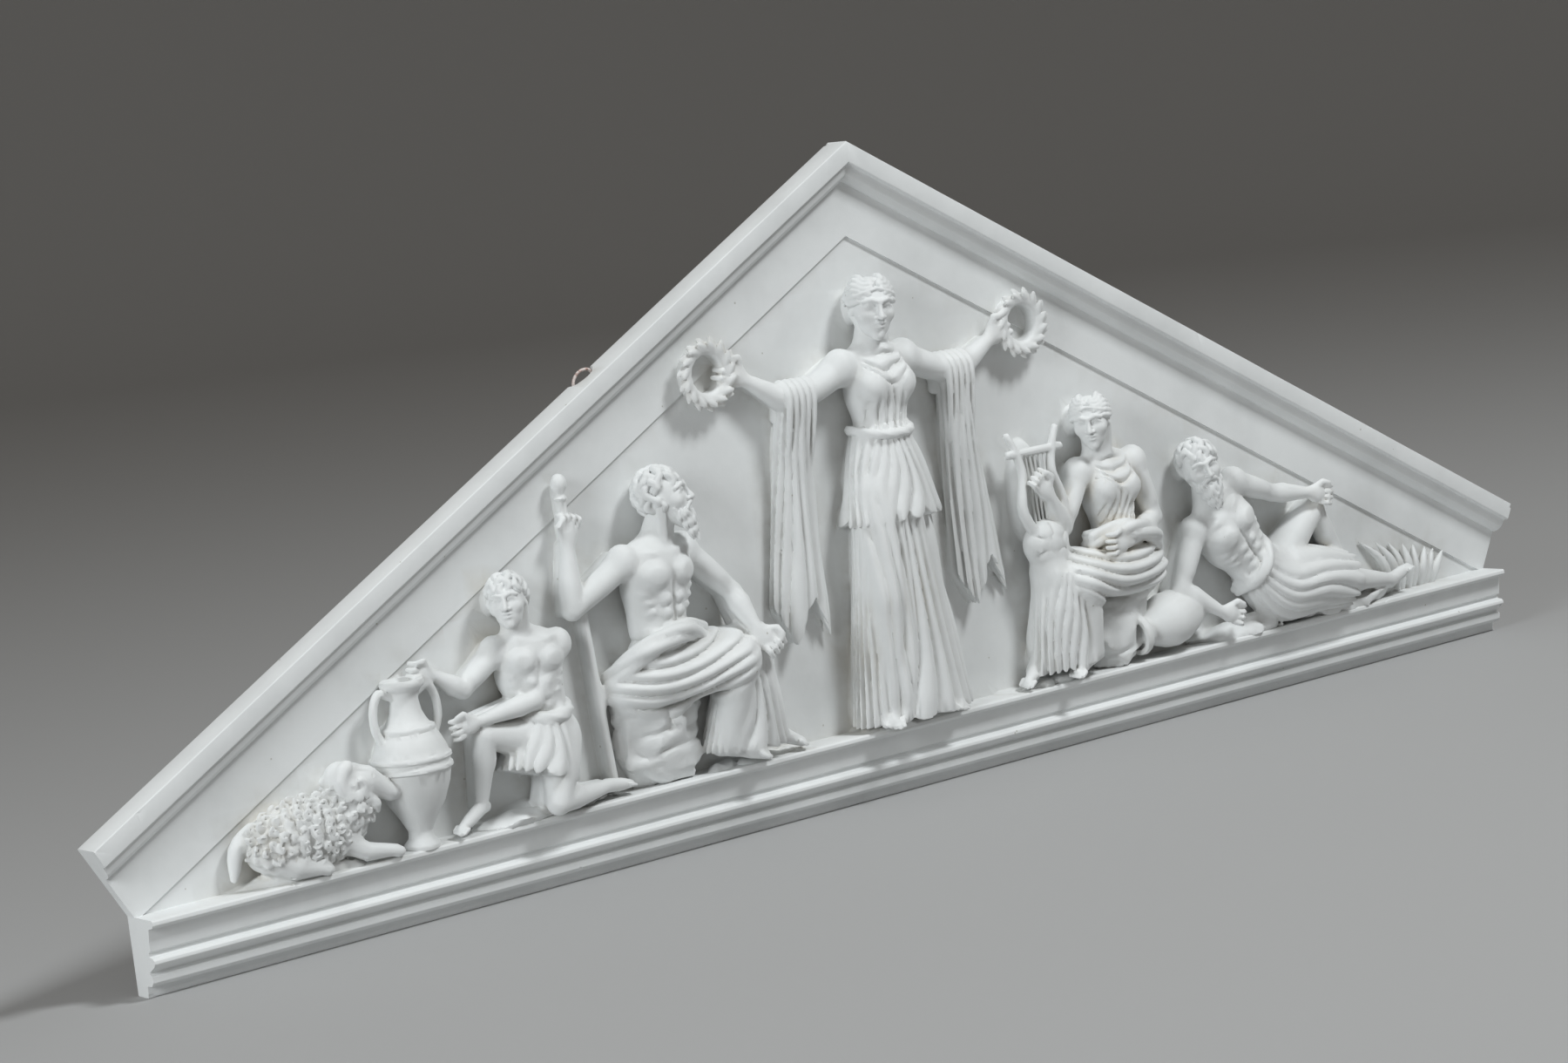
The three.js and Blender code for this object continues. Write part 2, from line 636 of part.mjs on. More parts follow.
function named(name, made, material) {
  const mesh = new THREE.Mesh(geometryOf(made), material);
  mesh.name = name;
  return mesh;
}

const plaster = new THREE.MeshStandardMaterial({ color: 0xe4e6e6, roughness: 0.85, metalness: 0 });
const copper = new THREE.MeshStandardMaterial({ color: 0x7a4632, roughness: 0.5, metalness: 1 });

const pediment = new THREE.Group();
pediment.add(named("plaster_pediment", casting(), plaster));
pediment.add(named("hanging_wire", wireLoop(wire.radius, 0), copper));
pediment.position.z = -backCentre;

export default pediment;
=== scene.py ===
import bpy
import bmesh
import math
import numpy as np
from mathutils import Matrix, Vector


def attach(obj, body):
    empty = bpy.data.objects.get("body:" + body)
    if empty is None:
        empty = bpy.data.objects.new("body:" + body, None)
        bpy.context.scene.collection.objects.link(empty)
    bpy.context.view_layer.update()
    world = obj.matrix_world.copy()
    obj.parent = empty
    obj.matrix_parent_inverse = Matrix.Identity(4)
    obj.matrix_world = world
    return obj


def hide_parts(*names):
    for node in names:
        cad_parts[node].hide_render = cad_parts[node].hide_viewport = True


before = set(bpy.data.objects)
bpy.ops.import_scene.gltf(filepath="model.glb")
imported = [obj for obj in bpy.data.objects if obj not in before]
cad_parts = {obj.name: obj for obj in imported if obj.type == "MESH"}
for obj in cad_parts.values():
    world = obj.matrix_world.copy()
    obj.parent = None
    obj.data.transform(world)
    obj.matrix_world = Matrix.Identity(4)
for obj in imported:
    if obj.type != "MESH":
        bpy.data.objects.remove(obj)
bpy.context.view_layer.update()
print("frame loaded")

mm = 0.001

# sizes of the casting in millimetres, heights above the strip's underside
panel = {
    "apexHeight": 374.0,
    "pitchDegrees": 29.3,
    "rakeWidth": 45.0,
    "bandDepth": 7.0,
    "fieldDepth": 5.5,
    "stripHeight": 41.0,
    "cornerLand": 3.0,
    "backCentre": 120.0,   # the origin's height on the back
}
pitch = math.radians(panel["pitchDegrees"])
rakeCornerZ = panel["stripHeight"] + panel["rakeWidth"] * math.cos(pitch)
rakeCornerX = (panel["apexHeight"] - rakeCornerZ) / math.tan(pitch)
stripHalf = rakeCornerX - panel["rakeWidth"] * math.sin(pitch)
fieldHalf = stripHalf - panel["cornerLand"]
fieldApex = panel["stripHeight"] + fieldHalf * math.tan(pitch)

# the relief is carved as a distance field on a grid: x across, z up, p proud of the field
carving = {
    "low": (-466.0, 37.0, -4.0),
    "high": (466.0, 312.0, 46.0),
    "cell": 0.9,
    "headCell": 0.45,
    "groundAt": -0.3,       # the plate's own face hides the ground of the field
    "groundBlend": 2.2,     # soft foot where a form meets the plate
    "groundReach": 6.0,     # how far that foot runs out
    "triangles": 120000,
    "headTriangles": 9000,
    "headReach": 0.95,      # the head's grid on each side, in head heights
    "shelfFrom": 17.0,      # past this the strip's top has ended
    "sunkBehind": 3.0,      # how far forms run down behind the strip's top edge
    "sunkBefore": 0.6,      # and in front of it
    "empty": 30.0,          # distance in the untouched grid
    "margin": 3.0,          # kept clear around each form
    "outside": 5.0,         # distance just past the grid's sides
    "fillTo": -0.05,        # distance given to a pinched corner
    "closingRounds": 12,    # most rounds of filling those
}
grid = {}


def startCarving(low, high, cell):
    low, high = np.array(low, float), np.array(high, float)
    counts = np.ceil((high - low) / cell).astype(int) + 1
    axes = [low[i] + cell * np.arange(counts[i]) for i in range(3)]
    grid["low"], grid["cell"] = low, cell
    grid["x"] = axes[0].astype(np.float32)[:, None, None]
    grid["z"] = axes[1].astype(np.float32)[None, :, None]
    grid["p"] = axes[2].astype(np.float32)[None, None, :]
    grid["field"] = np.full(counts, carving["empty"], np.float32)


def blockAround(low, high, pad):
    # index ranges of the grid around a box
    start = np.floor((np.asarray(low) - pad - grid["low"]) / grid["cell"]).astype(int)
    stop = np.ceil((np.asarray(high) + pad - grid["low"]) / grid["cell"]).astype(int) + 1
    start = np.maximum(start, 0)
    stop = np.minimum(stop, grid["field"].shape)
    return tuple(slice(a, max(a, b)) for a, b in zip(start, stop))


def coordinates(block):
    return grid["x"][block[0]], grid["z"][:, block[1]], grid["p"][:, :, block[2]]


def softMin(a, b, blend):
    seam = np.maximum(blend - np.abs(a - b), 0) / blend
    return np.minimum(a, b) - seam * seam * blend * 0.25


def blendIn(form, blend, sign):
    low, high, distance = form
    block = blockAround(low, high, blend + carving["margin"])
    old = grid["field"][block]
    if old.size:
        grid["field"][block] = sign * softMin(sign * old, distance(*coordinates(block)), blend)


def add(form, blend):
    # joins a form to the carving with a soft seam
    blendIn(form, blend, 1)


def cut(form, blend):
    # takes a form away from the carving with a soft edge
    blendIn(form, blend, -1)


# how cloth folds: the sharpness of a ridge, and the height on it that counts as flat
folding = {"crest": 0.8, "ruffleLevel": 0.55, "pleatLevel": 0.62, "hemLevel": 0.6}


def ruffle(region, phase, depth, fade):
    # raises folds on what is carved so far, one for each whole step of the phase
    low, high, distance = region
    block = blockAround(low, high, 0)
    x, z, p = coordinates(block)
    strength = np.clip(-distance(x, z, p) / fade, 0, 1)
    wave = np.abs(np.sin(math.pi * phase(x, z, p))) ** folding["crest"]
    grid["field"][block] -= depth * strength * (wave - folding["ruffleLevel"])


worldAxes = np.eye(3)


def unitVector(v):
    v = np.asarray(v, float)
    return v / np.linalg.norm(v)


def mix(a, b, t):
    return np.asarray(a, float) * (1 - t) + np.asarray(b, float) * t


def ellipsoid(centre, radii, axes=worldAxes):
    centre, radii, axes = np.asarray(centre, float), np.asarray(radii, float), np.asarray(axes, float)
    reach = np.sqrt(((axes * radii[:, None]) ** 2).sum(0))

    def distance(x, z, p):
        near, far = 0, 0
        for axis, radius in zip(axes, radii):
            local = axis[0] * (x - centre[0]) + axis[1] * (z - centre[1]) + axis[2] * (p - centre[2])
            near = near + (local / radius) ** 2
            far = far + (local / radius ** 2) ** 2
        near = np.sqrt(near)
        return near * (near - 1) / np.maximum(np.sqrt(far), 1e-6)

    return centre - reach, centre + reach, distance


def path(points, radii):
    # a round rod through points, with a radius at each one
    points = np.asarray(points, float)
    radii = np.broadcast_to(np.asarray(radii, float), (len(points),))
    widest = radii.max()

    def distance(x, z, p):
        best = None
        for a, b, ra, rb in zip(points[:-1], points[1:], radii[:-1], radii[1:]):
            run = b - a
            qx, qz, qp = x - a[0], z - a[1], p - a[2]
            t = np.clip((qx * run[0] + qz * run[1] + qp * run[2]) / max(run @ run, 1e-9), 0, 1)
            gap = np.sqrt((qx - t * run[0]) ** 2 + (qz - t * run[1]) ** 2 + (qp - t * run[2]) ** 2)
            gap = gap - (ra + (rb - ra) * t)
            best = gap if best is None else np.minimum(best, gap)
        return best

    return points.min(0) - widest, points.max(0) + widest, distance


def backing(points, radii, blend=1.0):
    # plaster left between a raised limb and the field
    points, radii = np.asarray(points, float), np.asarray(radii, float)
    for share in (0.25, 0.5, 0.75):
        add(path(points * (1, 1, share), radii * (0.95 - 0.25 * share)), blend)


def curve(points, count):
    # a smooth run of points through a few
    points = np.asarray(points, float)
    padded = np.vstack([2 * points[0] - points[1], points, 2 * points[-1] - points[-2]])
    out = []
    for s in np.linspace(0, len(points) - 1, count):
        i = min(int(s), len(points) - 2)
        t = s - i
        a, b, c, d = padded[i:i + 4]
        out.append(0.5 * (2 * b + (c - a) * t + (2 * a - 5 * b + 4 * c - d) * t * t
                          + (3 * b - a - 3 * c + d) * t ** 3))
    return np.array(out)


def cloth(stations, pleatCount, depth, phase, hem=2.0, zigzag=0.0):
    # a swathe of pleated cloth through oval stations: (point, wide, deep)
    track = curve([(*point, wide, deep) for point, wide, deep in stations], 8 * len(stations))
    spine, wide, deep = track[:, :3], track[:, 3], track[:, 4]
    along = np.gradient(spine, axis=0)
    along /= np.linalg.norm(along, axis=1)[:, None]
    across = np.cross((0, 0, 1), along)
    across /= np.linalg.norm(across, axis=1)[:, None]
    ahead = np.cross(along, across)
    lengths = np.concatenate([[0], np.cumsum(np.linalg.norm(np.diff(spine, axis=0), axis=1))])
    widest = 1.15 * max(wide.max(), deep.max())

    def distance(x, z, p):
        nearest = np.full(np.broadcast_shapes(x.shape, z.shape, p.shape), np.inf, np.float32)
        pick = np.zeros(nearest.shape, np.int16)
        for i, spot in enumerate(spine):
            gap = (x - spot[0]) ** 2 + (z - spot[1]) ** 2 + (p - spot[2]) ** 2
            pick[gap < nearest] = i
            nearest = np.minimum(nearest, gap)
        local = x - spine[pick, 0], z - spine[pick, 1], p - spine[pick, 2]
        ways = (along, across, ahead)
        reach, a, b = (sum(n * way[pick, k] for k, n in enumerate(local)) for way in ways)
        fall = lengths[pick] + reach
        down = np.clip(fall / lengths[-1], 0, 1)
        rw, rd = np.interp(fall, lengths, wide), np.interp(fall, lengths, deep)
        turn = np.arctan2(b / rd, a / rw)
        # uneven turns, so that no two pleats are alike
        bent = turn + 0.22 * np.sin(2 * turn + 1 + phase) + 0.15 * np.sin(3 * turn + 4 * down + phase)
        ridge = np.abs(np.sin(0.5 * pleatCount * bent + phase)) ** folding["crest"]
        uneven = ridge * (0.85 + 0.15 * np.sin(5 * turn + phase))
        rise = depth * (0.4 + 0.6 * down) * (uneven - folding["pleatLevel"])
        gap = (np.sqrt((a / rw) ** 2 + (b / rd) ** 2) - 1) * np.minimum(rw, rd) - rise
        point = np.abs(np.mod(1.3 * a / rw + 0.5, 2) - 1) - 0.5
        edge = hem * (ridge - folding["hemLevel"]) + zigzag * point
        return np.maximum(gap, np.maximum(-fall, fall - lengths[-1] - edge))

    return spine.min(0) - widest, spine.max(0) + widest, distance


# figures: joints are (across, up, proud) in millimetres, and the unit is the height of the head
# an arm runs shoulder, elbow, wrist, grip and a leg runs hip, knee, ankle, toe
# curls bend the fingers, and all girths below are in head heights

wreathBearer = {
    "name": "wreath bearer", "unit": 34, "woman": True,
    "turn": -18, "nod": -6, "lean": 3, "curls": (0.9, 0.9),
    "skull": (0, 280, 17), "neck": (0, 255, 11), "chest": (0, 233, 12), "loin": (1, 182, 12),
    "arms": [
        ((-23, 248, 11), (-59, 232, 11), (-88, 250, 9), (-102, 259, 8)),
        ((23, 248, 11), (60, 233, 11), (90, 248, 9), (104, 256, 8)),
    ],
    "legs": [
        ((-13, 173, 12), (-20, 115, 26), (-20, 56, 14), (-26, 46, 27)),
        ((14, 173, 12), (15, 109, 14), (18, 54, 12), (25, 46, 25)),
    ],
}
elder = {
    "name": "elder", "unit": 31, "bearded": True,
    "turn": 48, "nod": 10, "lean": 0, "curls": (0.9, 0.4),
    "skull": (-159, 197, 17), "neck": (-165, 174, 12), "chest": (-169, 151, 12), "loin": (-173, 107, 12),
    "arms": [
        ((-191, 166, 15), (-225, 146, 12), (-221, 180, 9), (-218, 193, 9)),
        ((-147, 166, 10), (-121, 138, 16), (-117, 117, 29), (-111, 109, 33)),
    ],
    "legs": [
        ((-178, 101, 15), (-129, 102, 27), (-137, 54, 16), (-117, 46, 24)),
        ((-163, 105, 9), (-111, 108, 16), (-103, 56, 10), (-84, 46, 15)),
    ],
}
lyrePlayer = {
    "name": "lyre player", "unit": 30, "woman": True,
    "turn": -50, "nod": -8, "lean": -4, "curls": (0.5, 0.6),
    "skull": (157, 191, 17), "neck": (164, 169, 12), "chest": (168, 147, 12), "loin": (173, 105, 12),
    "arms": [
        ((147, 161, 11), (127, 132, 16), (115, 152, 21), (108, 162, 21)),
        ((188, 162, 15), (197, 127, 19), (166, 117, 29), (152, 118, 31)),
    ],
    "legs": [
        ((163, 103, 9), (113, 106, 15), (105, 55, 10), (87, 46, 15)),
        ((178, 100, 15), (131, 99, 26), (138, 53, 16), (119, 46, 24)),
    ],
}
jarBoy = {
    "name": "boy with the jar", "unit": 27, "bareLegs": True,
    "turn": -42, "nod": 4, "lean": -6, "curls": (0.6, 0.3),
    "skull": (-268, 159, 16), "neck": (-261, 140, 11), "chest": (-257, 121, 11), "loin": (-250, 86, 12),
    "arms": [
        ((-276, 133, 9), (-299, 117, 10), (-315, 128, 9), (-326, 131, 10)),
        ((-239, 131, 14), (-262, 105, 21), (-296, 101, 21), (-311, 99, 19)),
    ],
    "legs": [
        ((-258, 83, 10), (-293, 92, 17), (-297, 54, 11), (-315, 46, 17)),
        ((-244, 80, 15), (-258, 49, 26), (-217, 49, 15), (-203, 47, 14)),
    ],
}
riverMan = {
    "name": "reclining man", "unit": 30, "bearded": True, "bareLegs": True,
    "turn": -22, "nod": -4, "lean": -14, "curls": (0.5, 0.3),
    "skull": (241, 150, 18), "neck": (249, 127, 13), "chest": (263, 105, 13), "loin": (294, 69, 14),
    "arms": [
        ((236, 111, 12), (216, 79, 16), (240, 61, 24), (253, 57, 26)),
        ((271, 136, 14), (302, 124, 15), (328, 120, 20), (341, 117, 22)),
    ],
    "legs": [
        ((300, 78, 10), (338, 108, 13), (368, 58, 9), (386, 49, 13)),
        ((301, 63, 18), (352, 61, 22), (402, 52, 14), (417, 57, 14)),
    ],
}

goldenAngle = math.pi * (3 - math.sqrt(5))


class Body:
    # a figure's own axes and head height: right, up and front

    def __init__(self, pose):
        self.pose = pose
        self.u = pose["unit"]
        left, right = (np.array(arm[0], float) for arm in pose["arms"])
        rise = np.array(pose["neck"], float) - pose["loin"]
        r = unitVector(right - left)
        f = unitVector(np.cross(r, rise))
        self.trunk = np.array([r, np.cross(f, r), f])
        r, up, f = np.eye(3)
        turn, nod, lean = (math.radians(pose[k]) for k in ("turn", "nod", "lean"))
        f, r = f * math.cos(turn) + r * math.sin(turn), r * math.cos(turn) - f * math.sin(turn)
        f, up = f * math.cos(nod) + up * math.sin(nod), up * math.cos(nod) - f * math.sin(nod)
        up, r = up * math.cos(lean) + r * math.sin(lean), r * math.cos(lean) - up * math.sin(lean)
        self.head = np.array([r, up, f])

    def at(self, origin, across, up, front, axes=None):
        axes = self.trunk if axes is None else axes
        return np.array(origin, float) + self.u * (np.array([across, up, front]) @ axes)

    def egg(self, centre, radii, axes=None):
        return ellipsoid(centre, self.u * np.array(radii), self.trunk if axes is None else axes)

    def rod(self, points, radii):
        return path(points, self.u * np.asarray(radii, float))


# half sizes of the trunk's masses: across, up and forward
trunks = {
    "woman": {
        "chest": (0.58, 0.72, 0.46), "shoulders": (0.56, 0.36, 0.38),
        "waist": (0.46, 0.55, 0.4), "hips": (0.68, 0.52, 0.48),
    },
    "man": {
        "chest": (0.72, 0.8, 0.48), "shoulders": (0.72, 0.4, 0.44),
        "waist": (0.57, 0.62, 0.43), "hips": (0.63, 0.48, 0.48),
    },
    "breast": (0.26, 0.27, 0.24),
    "backOfHead": (0.24, 0.3, 0.28),     # plaster between the head and the field
}


def carveTrunk(body):
    pose, u = body.pose, body.u
    chest, loin, neck, skull = (np.array(pose[k], float) for k in ("chest", "loin", "neck", "skull"))
    girth = trunks["woman" if pose.get("woman") else "man"]
    add(body.egg(chest, girth["chest"]), 0.2 * u)
    add(body.egg(body.at(chest, 0, 0.36, 0), girth["shoulders"]), 0.2 * u)
    add(body.egg(mix(loin, chest, 0.5), girth["waist"]), 0.2 * u)
    add(body.egg(loin, girth["hips"]), 0.2 * u)
    if pose.get("woman"):
        for side in (-1, 1):
            add(body.egg(body.at(chest, side * 0.3, 0.08, 0.34), trunks["breast"]), 0.16 * u)
    else:
        carveMuscles(body, chest)
    add(body.rod([neck, mix(neck, skull, 0.9)], [0.3, 0.24]), 0.12 * u)
    add(ellipsoid((skull[0], skull[1], 0), [u * r for r in trunks["backOfHead"]]), 0.1 * u)
    for side in (-1, 1):
        pitOfNeck = body.at(neck, side * 0.07, -0.02, 0.26)
        ear = body.at(skull, side * 0.3, -0.1, -0.08, body.head)
        add(body.rod([pitOfNeck, ear], [0.07, 0.09]), 0.06 * u)


def pad(a, b, middle, radii, edge):
    # a soft-edged oval swelling, from 0 to 1
    reach = np.sqrt(((a - middle[0]) / radii[0]) ** 2 + ((b - middle[1]) / radii[1]) ** 2)
    t = np.clip((1 - reach) / edge, 0, 1)
    return t * t * (3 - 2 * t)


def carveMuscles(body, chest):
    # swellings and grooves of a man's front, both sides alike, in head heights on the trunk's own plane
    u = body.u
    block = blockAround(chest - 2.1 * u, chest + 1.2 * u, 0)
    local = [n - c for n, c in zip(coordinates(block), chest)]
    a, b, front = (sum(n * w for n, w in zip(local, axis)) / u for axis in body.trunk)
    a = np.abs(a)
    rise = 0.11 * pad(a, b, (0.36, 0.2), (0.38, 0.3), 0.6)              # breast
    for up in (-0.24, -0.48, -0.72):
        rise = rise + 0.06 * pad(a, b, (0.16, up), (0.16, 0.13), 0.7)   # belly
    rise = rise + 0.055 * pad(a, b, (0.15, -1.1), (0.19, 0.3), 0.7)
    rise = rise + 0.08 * pad(a, b, (0.47, -0.92), (0.19, 0.3), 0.8)     # flank
    for rib in range(3):
        rise = rise + 0.04 * pad(a, b, (0.54 - 0.05 * rib, -0.1 - 0.17 * rib), (0.15, 0.08), 0.8)
    rise = rise + 0.045 * pad(a, b, (0.36, 0.58 + 0.1 * a), (0.36, 0.12), 0.9)   # collar bone
    rise = rise - 0.05 * pad(a, b, (0, -0.3), (0.05, 0.85), 0.9)        # middle line
    rise = rise - 0.09 * pad(a, b, (0, -0.9), (0.06, 0.07), 0.9)        # navel
    grid["field"][block] -= u * np.clip((front - 0.05) / 0.2, 0, 1) * rise


# radii of the limbs from joint to joint
limbs = {
    "armBacking": [0.22, 0.16, 0.1], "collar": [0.2, 0.2], "shoulder": (0.3, 0.33, 0.3),
    "upperArm": [0.25, 0.235, 0.175], "biceps": [0.16, 0.165], "forearm": [0.18, 0.21, 0.115],
    "palm": [0.2, 0.18, 0.1], "finger": [0.052, 0.05, 0.042], "thumb": [0.07, 0.06, 0.045],
    "legBacking": [0.32, 0.2, 0.11], "thigh": [0.4, 0.385, 0.24], "thighFront": [0.26, 0.19],
    "kneecap": (0.17, 0.19, 0.18), "shin": [0.22, 0.23, 0.16, 0.12], "shinFront": [0.1, 0.07],
    "calf": (0.18, 0.25, 0.19), "foot": [0.13, 0.14, 0.13, 0.09], "toe": [0.05, 0.04],
    "handScale": 1.1,      # hands a little over life, as they are thin to cast
}


def carveArm(body, arm, curl):
    u = body.u
    s, e, w, g = np.array(arm, float)
    neck = np.array(body.pose["neck"], float)
    backing([s, e, w], u * np.array(limbs["armBacking"]), 0.06 * u)
    add(body.rod([mix(neck, s, 0.25), mix(neck, s, 0.7)], limbs["collar"]), 0.15 * u)
    add(body.egg(s, limbs["shoulder"]), 0.08 * u)
    add(body.rod([s, mix(s, e, 0.45), e], limbs["upperArm"]), 0.06 * u)
    swell = np.array([0, 0.02, 0.08]) * u
    add(body.rod([mix(s, e, 0.34) + swell, mix(s, e, 0.7) + swell], limbs["biceps"]), 0.05 * u)
    add(body.rod([e, mix(e, w, 0.3), w], limbs["forearm"]), 0.05 * u)
    carveHand(body, w, g, curl)


def carveHand(body, wrist, grip, curl):
    u = body.u * limbs["handScale"]
    along = unitVector(grip - wrist)
    out = unitVector(np.array([0, 0, 1.0]) - along[2] * along)
    across = np.cross(out, along)
    if across[1] < 0:
        across = -across
    axes = np.array([along, across, out])
    palm = mix(wrist, grip, 0.5)
    add(ellipsoid(palm, u * np.array(limbs["palm"]), axes), 0.08 * u)
    knuckles = palm + along * 0.14 * u
    for i in range(4):
        spread = (i - 1.5) * 0.1 * u
        base = knuckles + across * spread - along * 0.015 * u * abs(i - 1.6)
        joint = base + (along * 0.13 + out * 0.05) * u + across * spread * 0.12
        tip = joint + (along * (0.14 - 0.1 * curl) - out * 0.16 * curl) * u
        add(path([base, joint, tip], u * np.array(limbs["finger"])), 0.012 * u)
    root = palm + across * 0.13 * u
    bend = root + (along * 0.1 + across * 0.1 + out * 0.06) * u
    tip = root + (along * 0.23 + across * (0.12 - 0.1 * curl) + out * 0.08) * u
    add(path([root, bend, tip], u * np.array(limbs["thumb"])), 0.03 * u)


def carveLeg(body, leg):
    u = body.u
    h, k, a, t = np.array(leg, float)
    front = unitVector(k - mix(h, a, 0.5))
    thighFront = [mix(h, k, 0.3) + front * 0.1 * u, mix(h, k, 0.8) + front * 0.04 * u]
    shinFront = [mix(k, a, 0.08) + front * 0.1 * u, mix(k, a, 0.9) + front * 0.03 * u]
    backing([h, k, a], u * np.array(limbs["legBacking"]), 0.06 * u)
    add(body.rod([h, mix(h, k, 0.42), k], limbs["thigh"]), 0.12 * u)
    add(body.rod(thighFront, limbs["thighFront"]), 0.08 * u)
    add(body.egg(k + front * 0.07 * u, limbs["kneecap"], worldAxes), 0.06 * u)
    add(body.rod([k, mix(k, a, 0.3), mix(k, a, 0.75), a], limbs["shin"]), 0.06 * u)
    add(body.rod(shinFront, limbs["shinFront"]), 0.06 * u)
    add(body.egg(mix(k, a, 0.28) - front * 0.11 * u, limbs["calf"], worldAxes), 0.07 * u)
    carveFoot(body, k, a, t)


def carveFoot(body, knee, ankle, toe):
    u = body.u
    along = unitVector(toe - ankle)
    heel = ankle - along * 0.12 * u + unitVector(ankle - knee) * 0.06 * u
    add(body.rod([heel, ankle, mix(ankle, toe, 0.6), toe], limbs["foot"]), 0.05 * u)
    side = unitVector(np.cross(along, (0, 1, 0)))
    for i in range(5):
        spread = side * (i - 2) * 0.075 * u
        root = toe + spread - along * 0.03 * u * abs(i - 1)
        tip = root + along * 0.13 * u - np.array([0, 0.02 * u, 0])
        add(path([root, tip], u * np.array(limbs["toe"])), 0.012 * u)


# lines of the face: across, up and forward of the skull's middle, those of the eye for one side
face = {
    "upperLid": ((0.055, 0.02, 0.325), (0.1, 0.075, 0.345), (0.165, 0.08, 0.335), (0.24, 0.025, 0.28)),
    "lowerLid": ((0.06, 0.01, 0.32), (0.14, -0.035, 0.335), (0.225, 0.01, 0.29)),
    "brow": ((0.035, 0.13, 0.385), (0.14, 0.165, 0.36), (0.26, 0.12, 0.27)),
    "nose": ((0, 0.12, 0.37), (0, -0.02, 0.425), (0, -0.115, 0.47)),
    "upperLip": ((-0.1, -0.24, 0.34), (-0.03, -0.215, 0.395), (0.03, -0.215, 0.395), (0.1, -0.24, 0.34)),
    "lowerLip": ((-0.08, -0.285, 0.34), (0, -0.292, 0.38), (0.08, -0.285, 0.34)),
    "mouth": ((-0.1, -0.255, 0.38), (0, -0.252, 0.43), (0.1, -0.255, 0.38)),
}


def carveHead(body):
    u, axes = body.u, body.head
    skull = body.pose["skull"]

    def at(across, up, front):
        return body.at(skull, across, up, front, axes)

    def egg(centre, radii):
        return body.egg(centre, radii, axes)

    add(egg(at(0, 0.06, -0.06), (0.34, 0.41, 0.4)), 0.1 * u)
    add(egg(at(0, -0.06, 0.06), (0.3, 0.4, 0.33)), 0.08 * u)
    add(egg(at(0, -0.3, 0.12), (0.23, 0.22, 0.25)), 0.1 * u)           # jaw
    add(egg(at(0, -0.45, 0.29), (0.1, 0.085, 0.09)), 0.07 * u)         # chin
    for side in (-1, 1):
        add(egg(at(side * 0.19, -0.1, 0.22), (0.13, 0.13, 0.12)), 0.08 * u)          # cheek
        cut(egg(at(side * 0.145, 0.035, 0.42), (0.12, 0.08, 0.12)), 0.05 * u)        # socket
        add(egg(at(side * 0.145, 0.03, 0.262), (0.088, 0.075, 0.08)), 0.01 * u)      # eye
        lid, under, brow = ([at(side * s, up, front) for s, up, front in face[k]]
                            for k in ("upperLid", "lowerLid", "brow"))
        add(body.rod(lid, 0.024), 0.01 * u)
        add(body.rod(under, 0.02), 0.01 * u)
        add(body.rod(brow, [0.035, 0.04, 0.03]), 0.05 * u)
        add(egg(at(side * 0.062, -0.13, 0.4), (0.045, 0.04, 0.05)), 0.02 * u)        # nostril
        add(egg(at(side * 0.335, -0.04, -0.02), (0.05, 0.11, 0.07)), 0.02 * u)       # ear
        cut(egg(at(side * 0.385, -0.03, 0.0), (0.03, 0.06, 0.035)), 0.02 * u)
    nose, upperLip, lowerLip, mouth = ([at(*spot) for spot in face[k]]
                                       for k in ("nose", "upperLip", "lowerLip", "mouth"))
    add(body.rod(nose, [0.04, 0.042, 0.055]), 0.035 * u)
    add(body.rod(upperLip, [0.022, 0.035, 0.035, 0.022]), 0.02 * u)
    add(body.rod(lowerLip, [0.025, 0.042, 0.025]), 0.02 * u)
    cut(body.rod(mouth, 0.016), 0.01 * u)
    cut(egg(at(0, -0.355, 0.42), (0.08, 0.03, 0.05)), 0.03 * u)                      # under the lip
    if body.pose.get("woman"):
        carveDrawnHair(body, at)
    else:
        carveCurls(body, at)
    if body.pose.get("bearded"):
        carveBeard(body, at)


hair = {
    "locks": 64, "lock": [0.035, 0.06, 0.068, 0.066, 0.052, 0.02],     # a man's curls
    "beardRows": 3, "beardLock": [0.03, 0.05, 0.055, 0.05, 0.04, 0.015],
    "strands": 6, "band": 0.028,                                       # a woman's drawn hair
    "knotCoils": 5, "coil": 0.045,
}


def carveCurls(body, at):
    # wavy locks on a golden-angle spiral over the skull, none on the face
    u, count = body.u, hair["locks"]
    add(body.egg(at(0, 0.12, -0.1), (0.36, 0.39, 0.385), body.head), 0.04 * u)
    for i in range(count):
        up = 1 - 2 * (i + 0.5) / count
        ring = math.sqrt(1 - up * up)
        turn = i * goldenAngle
        across, front = ring * math.cos(turn), ring * math.sin(turn)
        if (front > 0.2 and up < 0.36) or up < -0.62:
            continue
        down = np.array([0.0, -1.0, 0.0]) if up < 0.75 else np.array([across, -0.2, front + 0.3])
        normal = np.array([across, up, front])
        flow = unitVector(down - normal * (down @ normal))
        sway = np.cross(normal, flow)
        points = []
        for step in range(6):
            drop = 0.16 * (step - 1.5)
            wave = 0.13 * math.sin(step * 1.3 + 2.1 * i)
            q = unitVector(normal + flow * drop + sway * wave)
            q = q * (1.03 + 0.06 * math.sin(0.75 * step + 0.4))
            points.append(at(0.37 * q[0], 0.12 + 0.405 * q[1], -0.1 + 0.4 * q[2]))
        add(body.rod(points, hair["lock"]), 0.008 * u)


